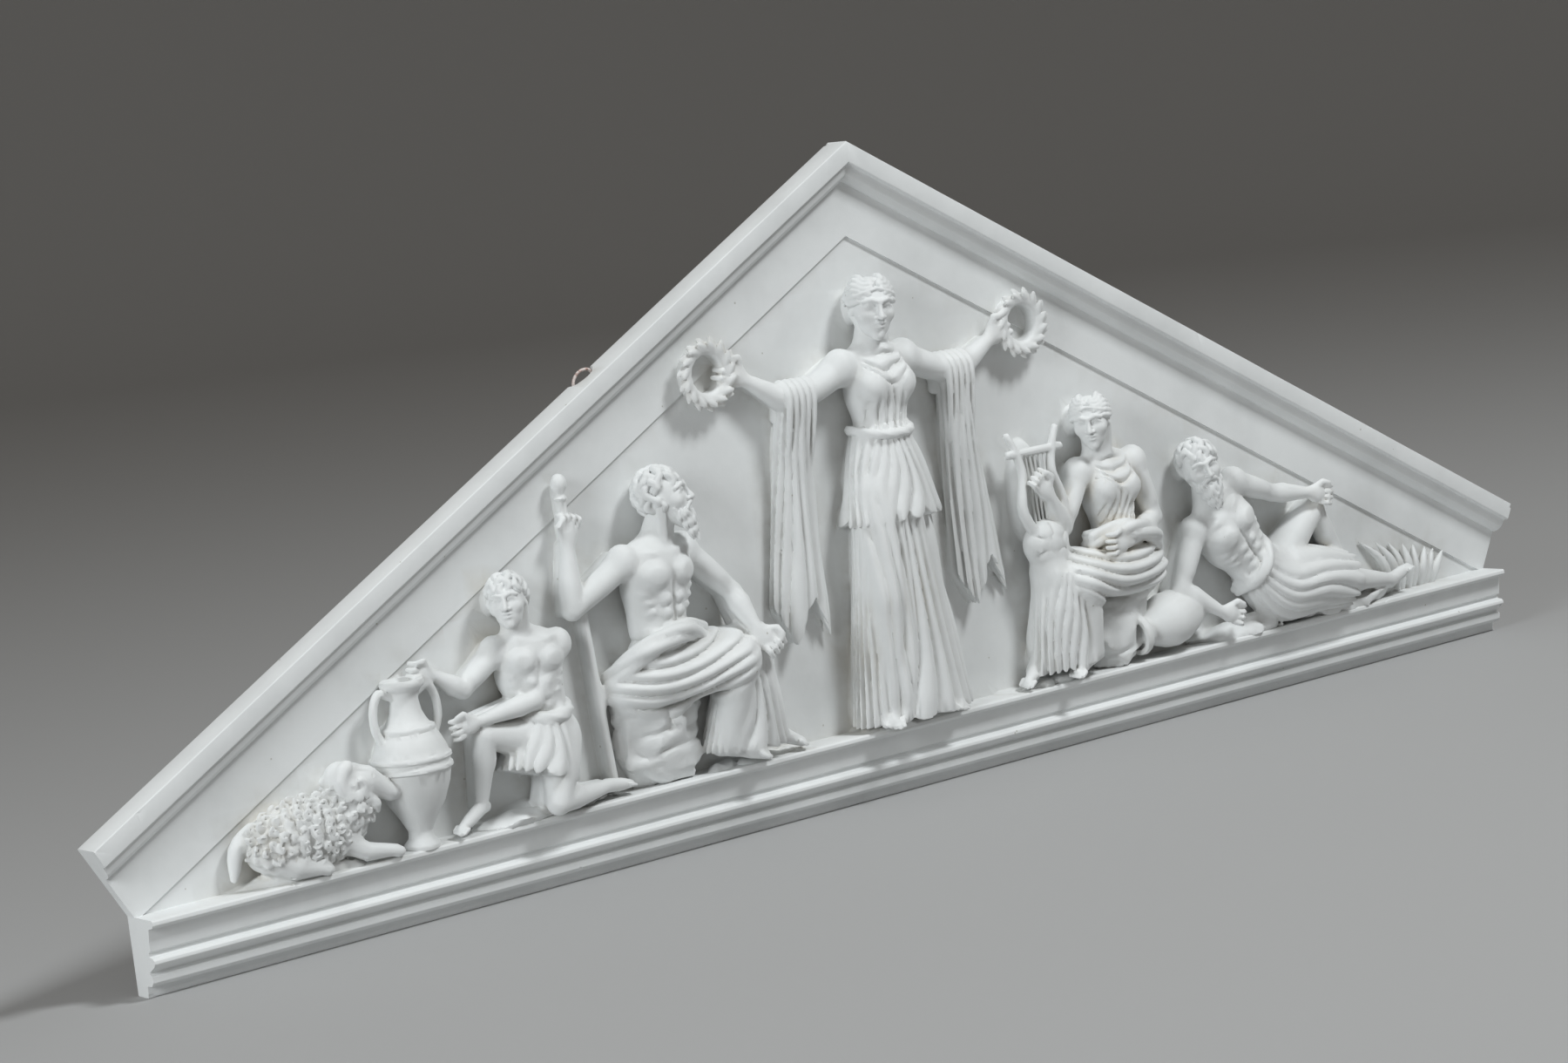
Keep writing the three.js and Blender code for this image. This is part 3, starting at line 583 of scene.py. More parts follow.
def carveDrawnHair(body, at):
    # waves from a middle parting, drawn back over the ears to a knot, under a narrow band
    u = body.u
    wide, tall, deep = 0.365, 0.4, 0.4

    def onSkull(across, up, front, lift):
        q = unitVector((across / wide, (up - 0.1) / tall, (front + 0.1) / deep)) * lift
        return at(wide * q[0], 0.1 + tall * q[1], -0.1 + deep * q[2])

    add(body.egg(at(0, 0.1, -0.1), (0.35, 0.385, 0.385), body.head), 0.04 * u)
    for side in (-1, 1):
        for i in range(hair["strands"]):
            points = []
            for t in np.linspace(0, 1, 11):
                across = side * (0.03 + (0.1 + 0.05 * i) * math.sin(math.pi * min(t + 0.12, 1)))
                up = 0.1 + (0.42 - 0.085 * i) * (1 - t) ** 0.8 + 0.03 * math.sin(14 * t + 1.4 * i)
                front = 0.3 - 0.02 * i - 0.78 * t
                points.append(onSkull(across, up, front, 1.04 + 0.03 * math.sin(14 * t + i)))
            add(body.rod(points, 0.05 * np.sin(np.linspace(0.7, 2.6, 11)) + 0.012), 0.006 * u)
        band = [onSkull(side * 0.35 * math.sin(a), 0.34 - 0.12 * a, 0.25 * math.cos(a) + 0.02, 1.11)
                for a in np.linspace(0, 2.4, 9)]
        add(body.rod(band, hair["band"]), 0.006 * u)
    add(body.egg(at(0, 0.02, -0.5), (0.18, 0.19, 0.17), body.head), 0.03 * u)
    for i in range(hair["knotCoils"]):
        turn = np.linspace(0, 1.5 * math.pi, 9) + i * 1.25
        reach = 0.17 - 0.012 * np.arange(9)
        coil = [at(r * math.cos(a), 0.02 + r * math.sin(a), -0.56 - 0.02 * n)
                for n, (a, r) in enumerate(zip(turn, reach))]
        add(body.rod(coil, hair["coil"]), 0.006 * u)


def carveBeard(body, at):
    u = body.u
    add(body.egg(at(0, -0.42, 0.2), (0.2, 0.2, 0.16), body.head), 0.05 * u)
    for row in range(hair["beardRows"]):
        count = 9 - 2 * row
        for i in range(count):
            swing = (i / (count - 1) - 0.5) * (2.7 - 0.5 * row)
            points = []
            for step in range(6):
                reach = 0.3 - 0.05 * row - 0.012 * step
                wave = 0.03 * math.sin(1.5 * step + 1.9 * i)
                across = reach * math.sin(swing) * (1 - 0.05 * step) + wave
                up = -0.2 - 0.13 * row - 0.065 * step - 0.1 * math.cos(swing)
                front = 0.08 + (0.3 - 0.02 * row) * math.cos(swing) + 0.008 * step
                points.append(at(across, up, front))
            add(body.rod(points, hair["beardLock"]), 0.008 * u)
    for side in (-1, 1):
        lip = [at(side * 0.02, -0.19, 0.43), at(side * 0.1, -0.22, 0.39), at(side * 0.18, -0.32, 0.32)]
        add(body.rod(lip, [0.032, 0.042, 0.025]), 0.012 * u)


def carveFigure(pose, dress):
    body = Body(pose)
    carveTrunk(body)
    for leg in pose["legs"]:
        if pose.get("bareLegs"):
            carveLeg(body, leg)
        else:
            carveFoot(body, *np.array(leg[1:], float))
    dress(body)
    for arm, curl in zip(pose["arms"], pose["curls"]):
        carveArm(body, arm, curl)
    print("carved the", pose["name"])


# drapery and things held

def carveFolds(firstEdge, lastEdge, count, radius, blend, samples=9):
    # folds spread evenly between two edges, thin at both ends
    first, last = curve(firstEdge, samples), curve(lastEdge, samples)
    swell = np.sin(np.linspace(0.25, math.pi - 0.25, samples))
    for i in range(count):
        points = mix(first, last, i / max(count - 1, 1))
        add(path(points, radius * (0.55 + 0.45 * swell) * (1 if i % 2 else 0.75)), blend)


def carveRoll(points, radius, twist=4.0):
    # a roll of cloth: four strands turned round each other
    middle = curve(points, 25)
    for strand in range(4):
        turn = 0.5 * math.pi * strand + np.linspace(0, twist, 25)
        around = np.stack([0 * turn, np.cos(turn), np.sin(turn)], 1)
        add(path(middle + radius * around, 0.95 * radius), 0.7)


# cloth over a seated figure's thighs, for one that sits to the right of the middle line
lap = {
    "seat": ((190, 97, 10), (17, 15, 15)),           # gathered behind: middle and half sizes
    "fall": [((121, 108, 17), 15, 13), ((119, 84, 15), 20, 15), ((121, 52, 11), 28, 15)],
    "fallPleats": 19, "pleatDepth": 4.0, "hem": 3.0,
    "slack": ((164, 103, 22), (50, 29, 32)),         # where the cloth sags between the thighs
    "slackStep": 7.5, "slackDepth": 3.2, "slackFade": 8,
    "roll": [(205, 102, 7), (191, 117, 24), (167, 125, 29), (146, 121, 17)], "rollRadius": 3.4,
}


def carveLap(body, side, phase):
    # drawn over the thighs, hanging from the knees to the ankles
    def at(spot):
        return side * spot[0], spot[1], spot[2]

    for leg in body.pose["legs"]:
        hip, knee, ankle = np.array(leg[:3], float)
        add(body.rod([hip, mix(hip, knee, 0.5), knee], [0.5, 0.46, 0.36]), 0.3 * body.u)
        add(body.rod([knee, mix(knee, ankle, 0.9)], [0.33, 0.26]), 0.2 * body.u)
    middle, half = lap["seat"]
    add(ellipsoid(at(middle), half), 8)
    fall = [(at(spot), wide, deep) for spot, wide, deep in lap["fall"]]
    add(cloth(fall, lap["fallPleats"], lap["pleatDepth"], phase, hem=lap["hem"]), 3)

    def slack(x, z, p):
        across = side * x - 160
        sagged = z - 0.004 * across ** 2 + 0.16 * across + 1.5 * np.sin(0.07 * across + phase)
        return sagged / lap["slackStep"] + phase

    middle, half = lap["slack"]
    ruffle(ellipsoid(at(middle), half), slack, lap["slackDepth"], lap["slackFade"])
    carveRoll([at(spot) for spot in lap["roll"]], lap["rollRadius"])


def carveBodice(body, lean=0.0):
    # a slack neckline between two pins on the shoulders, and folds drawn in to the belt
    u = body.u
    chest, neck = (np.array(body.pose[k], float) for k in ("chest", "neck"))

    def sag(x, z, p):
        across = x - neck[0] + lean * (z - neck[1])
        slack = np.maximum(1 - (across / (0.66 * u)) ** 2, 0.22)
        return (neck[1] + 0.15 * u - z) / (slack * 0.23 * u) + 0.16 * np.sin(0.31 * x + 0.23 * z)

    def drawIn(x, z, p):
        local = (x - chest[0], z - chest[1], p - chest[2])
        across, up, _ = (sum(n * w for n, w in zip(local, axis)) / u for axis in body.trunk)
        return (across - lean * up) / (0.17 + 0.05 * up) + 0.3 * np.sin(5 * up)

    ruffle(body.egg(body.at(chest, 0, 0.42, 0.3), (0.56, 0.5, 0.5)), sag, 0.075 * u, 0.2 * u)
    ruffle(body.egg(body.at(chest, 0, -0.42, 0.3), (0.62, 0.58, 0.5)), drawIn, 0.06 * u, 0.2 * u)


gown = {
    "skirt": [((1, 185, 12), 22, 17), ((0, 120, 12), 30, 19), ((0, 45, 11), 41, 20)],
    "skirtPleats": 23, "skirtDepth": 4.6,
    "knee": [(-16, 176, 18), (-20, 116, 24), (-20, 62, 17)], "kneeRadii": [11, 9.5, 8],   # the eased leg
    "kneeFolds": ((-19, 114, 30), (19, 64, 15)), "kneeFoldStep": 8.0, "kneeFoldDepth": 2.2,
    "overfold": [((0, 213, 12), 17, 15), ((0, 190, 12), 25, 19), ((0, 160, 13), 33, 21)],
    "overfoldPleats": 21, "overfoldDepth": 3.8, "overfoldHem": 5.0,
    "belt": [(-20, 212, 8), (-13, 209, 24), (0, 208, 29), (13, 209, 24), (20, 212, 8)],
    "beltRadius": 1.5,
    "shawl": [
        ((58, 240, 10), 9, 8), ((61, 214, 8), 11, 9), ((63, 176, 5), 14, 9), ((67, 112, 3), 19, 9),
    ],
    "shawlPleats": 13, "shawlDepth": 4.0, "shawlPoints": 26.0,
    "armFolds": 5, "armFoldStep": 4.3, "armFoldRadii": (3.4, 1.2),      # laid over each arm
}


def wreathBearerDress(body):
    add(cloth(gown["skirt"], gown["skirtPleats"], gown["skirtDepth"], 0.4), 2)
    add(path(gown["knee"], gown["kneeRadii"]), 9)

    def downLeg(x, z, p):
        return (x + 0.12 * (z - 115) + 2.5 * np.sin(0.03 * z)) / gown["kneeFoldStep"]

    ruffle(ellipsoid(*gown["kneeFolds"]), downLeg, gown["kneeFoldDepth"], 5)
    overfold = cloth(
        gown["overfold"], gown["overfoldPleats"], gown["overfoldDepth"], 1.1, hem=gown["overfoldHem"],
    )
    add(overfold, 1.5)
    carveBodice(body)
    carveRoll(gown["belt"], gown["beltRadius"], 9.0)
    for side in (-1, 1):
        shawl = [((side * x, z, p), wide, deep) for (x, z, p), wide, deep in gown["shawl"]]
        shawl = cloth(
            shawl, gown["shawlPleats"], gown["shawlDepth"], 0.7 + side, zigzag=gown["shawlPoints"],
        )
        add(shawl, 2)
        for i in range(gown["armFolds"]):
            x = side * (50 + gown["armFoldStep"] * i)
            low = 196 - 7 * (i % 2)
            fold = [(x, 226, 4), (x - side, 241, 5), (x - side, 245, 11), (x, 238, 18.5),
                    (x + side, 216, 16), (x + 2 * side, low, 11)]
            add(path(curve(fold, 21), np.linspace(*gown["armFoldRadii"], 21)), 0.8)


wreath = {
    "places": [(-115, 258, 8), (117, 255, 8)], "ring": 13.0, "hoop": 2.4,
    "leaves": 15, "leafReach": 11, "leaf": (6.6, 2.2, 1.4), "leafLift": 1.2,
    "spray": ((4.6, 1.0), (-2.6, 1.0), (1.4, 3.0)),      # how far out and up each leaf of a spray points
}


def carveWreath(centre):
    centre, ring, count = np.array(centre, float), wreath["ring"], wreath["leaves"]
    turns = np.linspace(0, 2 * math.pi, 25)
    hoop = centre + np.stack([ring * np.cos(turns), ring * np.sin(turns), 0 * turns], 1)
    add(path(hoop, wreath["hoop"]), 1)
    backing(hoop, np.full(len(hoop), wreath["hoop"]))
    for i in range(count):
        turn = 2 * math.pi * i / count
        out = np.array([math.cos(turn), math.sin(turn), 0])
        along = np.array([-math.sin(turn), math.cos(turn), 0])
        root = centre + out * ring
        for spread, lift in wreath["spray"]:
            tip = root + along * wreath["leafReach"] + out * spread + (0, 0, lift)
            leaf = unitVector(tip - root)
            flat = unitVector(np.cross((0, 0, 1.0), leaf))
            blade = np.array([leaf, flat, np.cross(leaf, flat)])
            middle = mix(root, tip, 0.5) + (0, 0, wreath["leafLift"])
            add(ellipsoid(middle, wreath["leaf"], blade), 0.15)


staff = {
    "foot": (-209, 44, 8.0), "top": (-221, 212, 8.0), "radii": [2.9, 2.5], "backing": (2.6, 2.4),
    "knob": (4.6, 5.6, 4.6), "knobUp": 2, "collar": (3.9, 1.6, 3.9), "collarDown": 6,
}


def carveStaff():
    foot, top = np.array(staff["foot"]), np.array(staff["top"])
    add(path([foot, top], staff["radii"]), 0.8)
    backing([foot, top], staff["backing"])
    add(ellipsoid(top + (0, staff["knobUp"], 0), staff["knob"]), 0.8)
    add(ellipsoid(top - (0, staff["collarDown"], 0), staff["collar"]), 0.6)


lyre = {
    "middle": 112, "shellUp": 125, "shellProud": 16.0, "shell": (16, 14, 10),
    "plates": 6, "groove": 0.8, "inner": 0.42, "outer": 0.9,     # cut between the plates of the shell
    "innerLift": 9.4, "outerLift": 4.6,
    "horn": ((8, 130, 18), (16, 147, 17), (11.5, 166, 15), (14, 180, 14), (19, 191, 13)),
    "hornRadii": (3.6, 2.2),
    "barUp": 180, "barProud": 14, "barHalf": 20, "barRadius": 2.5,
    "backing": ((112, 156, 0), (13, 31, 12.5)),
    "strings": 5, "stringStep": 3.6, "stringRadius": 0.85, "stringFoot": (134, 16.5),
}


def carveLyre():
    middle, (wide, tall, _) = lyre["middle"], lyre["shell"]
    shell = np.array((middle, lyre["shellUp"], lyre["shellProud"]))
    add(ellipsoid(shell, lyre["shell"]), 1.2)

    def onShell(turn, share, lift):
        return shell + np.array([wide * math.cos(turn), tall * math.sin(turn), 0]) * share + (0, 0, lift)

    for i in range(lyre["plates"]):
        turn = math.pi * (i + 0.5) / 3
        inner = onShell(turn, lyre["inner"], lyre["innerLift"])
        outer = onShell(turn, lyre["outer"], lyre["outerLift"])
        following = onShell(turn + math.pi / 3, lyre["inner"], lyre["innerLift"])
        for end in (outer, following):
            cut(path([inner, end], lyre["groove"]), 0.4)
    for side in (-1, 1):
        horn = [(middle + side * a, up, p) for a, up, p in lyre["horn"]]
        add(path(curve(horn, 15), np.linspace(*lyre["hornRadii"], 15)), 0.8)
    bar = [(middle + side * lyre["barHalf"], lyre["barUp"], lyre["barProud"]) for side in (-1, 1)]
    add(path(bar, lyre["barRadius"]), 0.8)
    add(ellipsoid(*lyre["backing"]), 1.5)
    for i in range(lyre["strings"]):
        x = middle + lyre["stringStep"] * (i - 2)
        foot = (x * 0.8 + middle * 0.2, *lyre["stringFoot"])
        add(path([foot, (x, lyre["barUp"], lyre["barProud"])], lyre["stringRadius"]), 0.3)


def turned(foot, axis, profile):
    # a turned vessel: (radius, height) points along an axis
    foot, axis = np.array(foot, float), unitVector(axis)
    heights = np.array([h for _, h in profile], float)
    radii = np.array([r for r, _ in profile], float)
    ends = np.array([foot + axis * heights[0], foot + axis * heights[-1]])
    widest = radii.max()

    def distance(x, z, p):
        qx, qz, qp = x - foot[0], z - foot[1], p - foot[2]
        up = qx * axis[0] + qz * axis[1] + qp * axis[2]
        across = np.sqrt(np.maximum(qx * qx + qz * qz + qp * qp - up * up, 0))
        wall = (across - np.interp(up, heights, radii)) * 0.8     # less than the gap, because the wall leans
        return np.maximum(wall, np.maximum(heights[0] - up, up - heights[-1]))

    return ends.min(0) - widest, ends.max(0) + widest, distance


# vessels are drawn by (radius, height) points
jar = {
    "foot": (-336, 40, 11),
    "profile": [
        # foot and body
        (9.5, 0), (9.8, 3), (7.0, 6), (6.4, 10), (10, 17), (15, 25), (18.8, 35), (20.2, 42),
        # two bands
        (21.6, 42.8), (21.6, 44.6), (20.4, 45.4), (20.4, 47.4), (21.5, 48.2), (21.4, 50),
        # shoulder
        (20, 50.8), (19.2, 54), (16.4, 60), (14, 63), (14.9, 63.8), (14.4, 65.4), (12.4, 66),
        # neck and lip
        (10.4, 69), (8.6, 73), (7.6, 79), (8.4, 84), (11.4, 86), (12, 88), (11.4, 90),
    ],
    "mouthUp": 131, "mouth": (8.5, 4, 8.5),
    "handle": ((8, 122), (15, 125), (19, 118), (19.5, 107), (15.5, 98)), "handleRadius": 2.3,
}


def carveJar():
    x, _, proud = jar["foot"]
    add(turned(jar["foot"], (0, 1, 0), jar["profile"]), 0.6)
    cut(ellipsoid((x, jar["mouthUp"], proud), jar["mouth"]), 0.6)
    for side in (-1, 1):
        handle = [(x + side * a, up, proud) for a, up in jar["handle"]]
        add(path(curve(handle, 13), jar["handleRadius"]), 0.8)


urn = {
    "middle": (208, 62, 12.0), "tilt": 0.16,
    "profile": [
        (7, -25), (9, -23), (13, -15), (16.4, -5), (17, 2), (15.4, 9), (12, 16), (9, 20), (9, 23),
        (12.6, 26), (13.4, 28.5), (12.6, 31),
    ],
    "bore": [(9.5, 27.5), (9.5, 34)],
    "nearWater": [(183, 54, 15), (172, 50, 16), (163, 42, 14)],
    "farWater": [(185, 64, 7), (168, 60, 5), (152, 43, 3)],
    "streams": 7, "streamRadius": 2.4,
}


def carveUrn():
    axis = (-math.cos(urn["tilt"]), -math.sin(urn["tilt"]), 0)
    add(turned(urn["middle"], axis, urn["profile"]), 0.8)
    cut(turned(urn["middle"], axis, urn["bore"]), 0.6)
    carveFolds(urn["nearWater"], urn["farWater"], urn["streams"], urn["streamRadius"], 1.2)


ram = {
    "trunk": [       # middle, half sizes and seam
        ((-402, 63, 8), (33, 18, 15), 3), ((-378, 74, 10), (15, 17, 13), 4),
        ((-424, 61, 9), (14, 14, 13), 4),
    ],
    "fleece": [      # middle, half sizes and how many curls
        ((-402, 63, 8), (33, 18.5, 15.5), 120), ((-378, 75, 10), (15.5, 17, 13.5), 46),
        ((-424, 62, 10), (15, 14, 13), 34),
    ],
    "curlReach": (2.7, 0.8), "curlRadius": 1.2,
    "head": [(-381, 87, 13), (-369, 84, 17), (-356, 76, 18)], "headRadii": [9, 8, 4.6],
    "muzzle": ((-355, 75, 18), (5, 4.2, 4.6)),
    "mouth": [(-359, 71.5, 22), (-351, 72.5, 21)],
    "nostril": ((-351, 77, 20), (1.2, 0.9, 1.6)),
    "eyeSocket": ((-366, 87, 24), (2.6, 1.8, 2)), "eye": ((-366.5, 86.5, 22.6), (1.7, 1.4, 1.5)),
    "hornMiddle": (-377, 84, 19.5), "hornReach": 10, "hornRadii": (3.6, 1.5), "hornSteps": 19,
    "ear": [(-371, 78, 21), (-367, 72, 22), (-366, 68, 21)], "earRadii": [1.8, 2.8, 1.4],
    "foreleg": [(-386, 56, 14), (-374, 48, 18), (-357, 45, 19)], "forelegRadii": [6, 4.8, 3.2],
    "hindLeg": [(-428, 58, 10), (-416, 49, 16), (-400, 45, 19)], "hindLegRadii": [10, 7, 3.4],
    "hooves": [(-356, 44, 19.5), (-399, 44, 19.5)], "hoof": (4, 3, 3.4),
    "tail": [(-432, 70, 6), (-442, 62, 6), (-445, 48, 5)], "tailRadii": [4.5, 5, 5, 4.6, 4, 3.2, 2.2],
}


def carveRam():
    for middle, half, seam in ram["trunk"]:
        add(ellipsoid(middle, half), seam)
    for middle, radii, count in ram["fleece"]:
        for i in range(count):
            front = (i + 0.5) / count
            ring = math.sqrt(1 - front * front)
            turn = i * goldenAngle
            way = np.array([ring * math.cos(turn), ring * math.sin(turn), front])
            curlTurn = np.linspace(0, 5.2, 7) + i
            reach = np.linspace(*ram["curlReach"], 7)
            curl = np.stack([reach * np.cos(curlTurn), reach * np.sin(curlTurn), 0.16 * np.arange(7)], 1)
            add(path(middle + way * radii + curl, ram["curlRadius"]), 0.4)
    add(path(ram["head"], ram["headRadii"]), 2)
    add(ellipsoid(*ram["muzzle"]), 2)
    cut(path(ram["mouth"], 0.6), 0.4)
    cut(ellipsoid(*ram["nostril"]), 0.4)
    cut(ellipsoid(*ram["eyeSocket"]), 0.8)
    add(ellipsoid(*ram["eye"]), 0.3)
    steps = np.arange(ram["hornSteps"])
    x, up, proud = ram["hornMiddle"]
    turns = 1.9 + 0.3 * steps
    reach = ram["hornReach"] - 0.43 * steps
    horn = np.stack([x + reach * np.cos(turns), up + reach * np.sin(turns), proud + 0.25 * steps], 1)
    add(path(horn, np.linspace(*ram["hornRadii"], len(steps)) * (1 + 0.1 * (steps % 2))), 0.6)
    add(path(ram["ear"], ram["earRadii"]), 0.8)
    add(path(ram["foreleg"], ram["forelegRadii"]), 2)
    add(path(ram["hindLeg"], ram["hindLegRadii"]), 2)
    for spot in ram["hooves"]:
        add(ellipsoid(spot, ram["hoof"]), 0.8)
    add(path(curve(ram["tail"], 7), ram["tailRadii"]), 1.5)


reeds = {
    "count": 8, "firstX": 414, "step": 5.2, "foot": 41, "tallest": 37, "shorterBy": 2.6,
    "firstLean": -0.7, "leanStep": 0.2,
    "radii": [2.2, 2.8, 3.2, 3.2, 3.0, 2.6, 2.0, 1.3, 0.5], "vein": 0.55, "veinProud": 3.4,
}


def carveReeds():
    for i in range(reeds["count"]):
        lean = reeds["firstLean"] + reeds["leanStep"] * i
        height = reeds["tallest"] - reeds["shorterBy"] * i
        root = np.array((reeds["firstX"] + reeds["step"] * i, reeds["foot"], 0.5 + (i % 2)))
        tip = root + (height * lean, height, 1.0)
        bend = root + (0.32 * height * lean, 0.58 * height, 2.6)
        spine = curve([root, bend, tip], len(reeds["radii"]))
        add(path(spine, reeds["radii"]), 0.8)
        cut(path(spine[1:-1] + (0, 0, reeds["veinProud"]), reeds["vein"]), 0.3)


rocks = {
    "seed": 7,
    "ground": [      # middle and half sizes
        ((-178, 64, 4), (39, 33, 19)), ((170, 62, 4), (31, 33, 15)), ((-262, 41, 4), (56, 9, 20)),
        ((-402, 41, 4), (54, 9, 18)), ((266, 42, 4), (48, 12, 21)), ((360, 41, 4), (56, 11, 19)),
        ((0, 40, 4), (58, 5, 18)), ((-110, 40, 4), (50, 5, 16)), ((112, 40, 4), (50, 5, 16)),
    ],
    "faces": 22, "faceReach": (0.62, 0.86), "swell": 1.08,
    "crackDepth": 5.0, "crackShare": 0.4, "crackWidth": 0.16, "coarse": 2.6, "fine": 1.5,
}


def carveRocks():
    rng = np.random.default_rng(rocks["seed"])
    for centre, half in rocks["ground"]:
        add(rockForm(centre, half, rng), 2.5)


def lumps(x, z, p):
    # smooth random heights between 0 and 1, one for each whole step
    def height(i, j, k):
        return np.mod(np.sin(i * 12.99 + j * 78.23 + k * 37.72) * 437.58, 1)

    i, j, k = np.floor(x), np.floor(z), np.floor(p)
    u, v, w = (3 * t * t - 2 * t ** 3 for t in (x - i, z - j, p - k))
    total = 0
    for a in (0, 1):
        for b in (0, 1):
            for c in (0, 1):
                share = (u if a else 1 - u) * (v if b else 1 - v) * (w if c else 1 - w)
                total = total + share * height(i + a, j + b, k + c)
    return total


def rockForm(centre, half, rng):
    # a boulder: an egg trimmed by broken faces, with a rough skin
    centre, half = np.array(centre, float), np.array(half, float)
    faces = [(unitVector(rng.normal(size=3) * (1, 1, 0.8)), rng.uniform(*rocks["faceReach"]))
             for _ in range(rocks["faces"])]
    base = ellipsoid(centre, half * rocks["swell"])[2]

    def distance(x, z, p):
        best = base(x, z, p)
        for normal, reach in faces:
            plane = sum(n * (v - c) / h for n, v, c, h in zip(normal, (x, z, p), centre, half))
            slope = np.linalg.norm(normal / half)
            best = np.maximum(best, (plane - reach) / slope)
        width = rocks["crackWidth"]
        broken = np.maximum(width - np.abs(lumps(x / 17, z / 11, p / 13) - 0.5), 0)
        best = best + rocks["crackDepth"] * broken / width * rocks["crackShare"]
        best = best - rocks["coarse"] * (lumps(x / 12, z / 12, p / 12) - 0.5)
        return best - rocks["fine"] * (lumps(x / 4, z / 4, p / 4) - 0.5)

    return centre - half, centre + half, distance


def elderDress(body):
    carveLap(body, -1, 0.3)


def lyrePlayerDress(body):
    carveBodice(body, 0.35)
    carveLap(body, 1, 1.7)


loincloths = {
    "youth": {
        "fall": [((-252, 95, 11), 15.5, 13.5), ((-256, 80, 13), 20, 17), ((-261, 65, 14), 23, 19)],
        "depth": 3.2, "phase": 0.5, "seam": 1.5,
        "roll": [(-269, 96, 9), (-263, 95, 20), (-252, 94, 25), (-241, 96, 20), (-235, 98, 9)],
        "rollRadius": 2.0,
    },
    "reclining": {
        "fall": [
            ((278, 84, 14), 16, 15), ((300, 68, 15), 23, 19),
            ((326, 66, 16), 21, 19), ((357, 60, 15), 17, 17),
        ],
        "depth": 3.4, "phase": 0.2, "seam": 2,
        "roll": [(289, 99, 10), (285, 93, 23), (278, 84, 29), (271, 75, 24), (267, 70, 12)],
        "rollRadius": 2.6,
    },
    "pleats": 15, "hem": 4.0, "twist": 6.0,
}


def carveLoincloth(which):
    worn = loincloths[which]
    fall = cloth(worn["fall"], loincloths["pleats"], worn["depth"], worn["phase"], hem=loincloths["hem"])
    add(fall, worn["seam"])
    carveRoll(worn["roll"], worn["rollRadius"], loincloths["twist"])


def jarBoyDress(body):
    carveLoincloth("youth")


def riverManDress(body):
    carveLoincloth("reclining")


def carveAll():
    startCarving(carving["low"], carving["high"], carving["cell"])
    carveRocks()
    carveUrn()
    carveFigure(wreathBearer, wreathBearerDress)
    for centre in wreath["places"]:
        carveWreath(centre)
    carveStaff()
    carveFigure(elder, elderDress)
    carveLyre()
    carveFigure(lyrePlayer, lyrePlayerDress)
    carveJar()
    carveFigure(jarBoy, jarBoyDress)
    carveFigure(riverMan, riverManDress)
    carveReeds()
    carveRam()
    print("carved the relief")


def closeGaps(field):
    # fills the corner where two parts of the skin would share only an edge
    filled = 0
    for axes in ((0, 1), (1, 2), (0, 2)):
        inside = field < 0
        views = {}
        for i in (0, 1):
            for j in (0, 1):
                take = [slice(None)] * 3
                take[axes[0]] = slice(i, None) if i else slice(0, -1)
                take[axes[1]] = slice(j, None) if j else slice(0, -1)
                views[i, j] = tuple(take)
        a, b, c, d = (inside[views[k]] for k in ((0, 0), (1, 1), (1, 0), (0, 1)))
        for pinched, corner in ((a & b & ~c & ~d, (1, 0)), (c & d & ~a & ~b, (0, 0))):
            field[views[corner]][pinched] = carving["fillTo"]
            filled += int(pinched.sum())
    return filled


def skinOf(field, low, cell):
    # surface nets: one vertex in each cell that the surface crosses
    padded = np.pad(field, 1, constant_values=carving["outside"])
    for _ in range(carving["closingRounds"]):
        if not closeGaps(padded):
            break
    origin = np.array(low) - cell
    inside = padded < 0
    shape = tuple(n - 1 for n in padded.shape)
    corners = [(i, j, k) for i in (0, 1) for j in (0, 1) for k in (0, 1)]
    anyIn = np.zeros(shape, bool)
    allIn = np.ones(shape, bool)
    for i, j, k in corners:
        part = inside[i:i + shape[0], j:j + shape[1], k:k + shape[2]]
        anyIn |= part
        allIn &= part
    cells = np.flatnonzero(anyIn & ~allIn)
    cellAt = np.stack(np.unravel_index(cells, shape), 1)
    value = {c: padded[tuple((cellAt + c).T)] for c in corners}
    total = np.zeros((len(cells), 3))
    crossings = np.zeros(len(cells))
    for a in corners:
        for axis in range(3):
            if a[axis]:
                continue
            b = tuple(1 if n == axis else a[n] for n in range(3))
            va, vb = value[a], value[b]
            crosses = (va < 0) != (vb < 0)
            t = np.where(crosses, va / np.where(crosses, va - vb, 1), 0)
            total += (np.array(a, float) + np.outer(t, np.eye(3)[axis])) * crosses[:, None]
            crossings += crosses
    points = origin + cell * (total / crossings[:, None] + cellAt)
    quads = []
    for axis in range(3):
        u, v = (axis + 1) % 3, (axis + 2) % 3
        first = inside[tuple(slice(0, -1) if n == axis else slice(None) for n in range(3))]
        second = inside[tuple(slice(1, None) if n == axis else slice(None) for n in range(3))]
        edges = np.argwhere(first != second)
        leaves = first[tuple(edges.T)]
        around = []
        for du, dv in ((0, 0), (1, 0), (1, 1), (0, 1)):
            beside = edges.copy()
            beside[:, u] -= du
            beside[:, v] -= dv
            around.append(np.searchsorted(cells, np.ravel_multi_index(beside.T, shape)))
        quad = np.stack(around, 1)
        quad[~leaves] = quad[~leaves][:, ::-1]
        quads.append(quad)
    return points, np.vstack(quads)


def linked(name, data):
    piece = bpy.data.objects.new(name, data)
    bpy.context.collection.objects.link(piece)
    return piece


def meshObject(name, points, faces):
    mesh = bpy.data.meshes.new(name)
    mesh.from_pydata([tuple(p) for p in points], [], [tuple(f) for f in faces])
    mesh.validate()
    return linked(name, mesh)


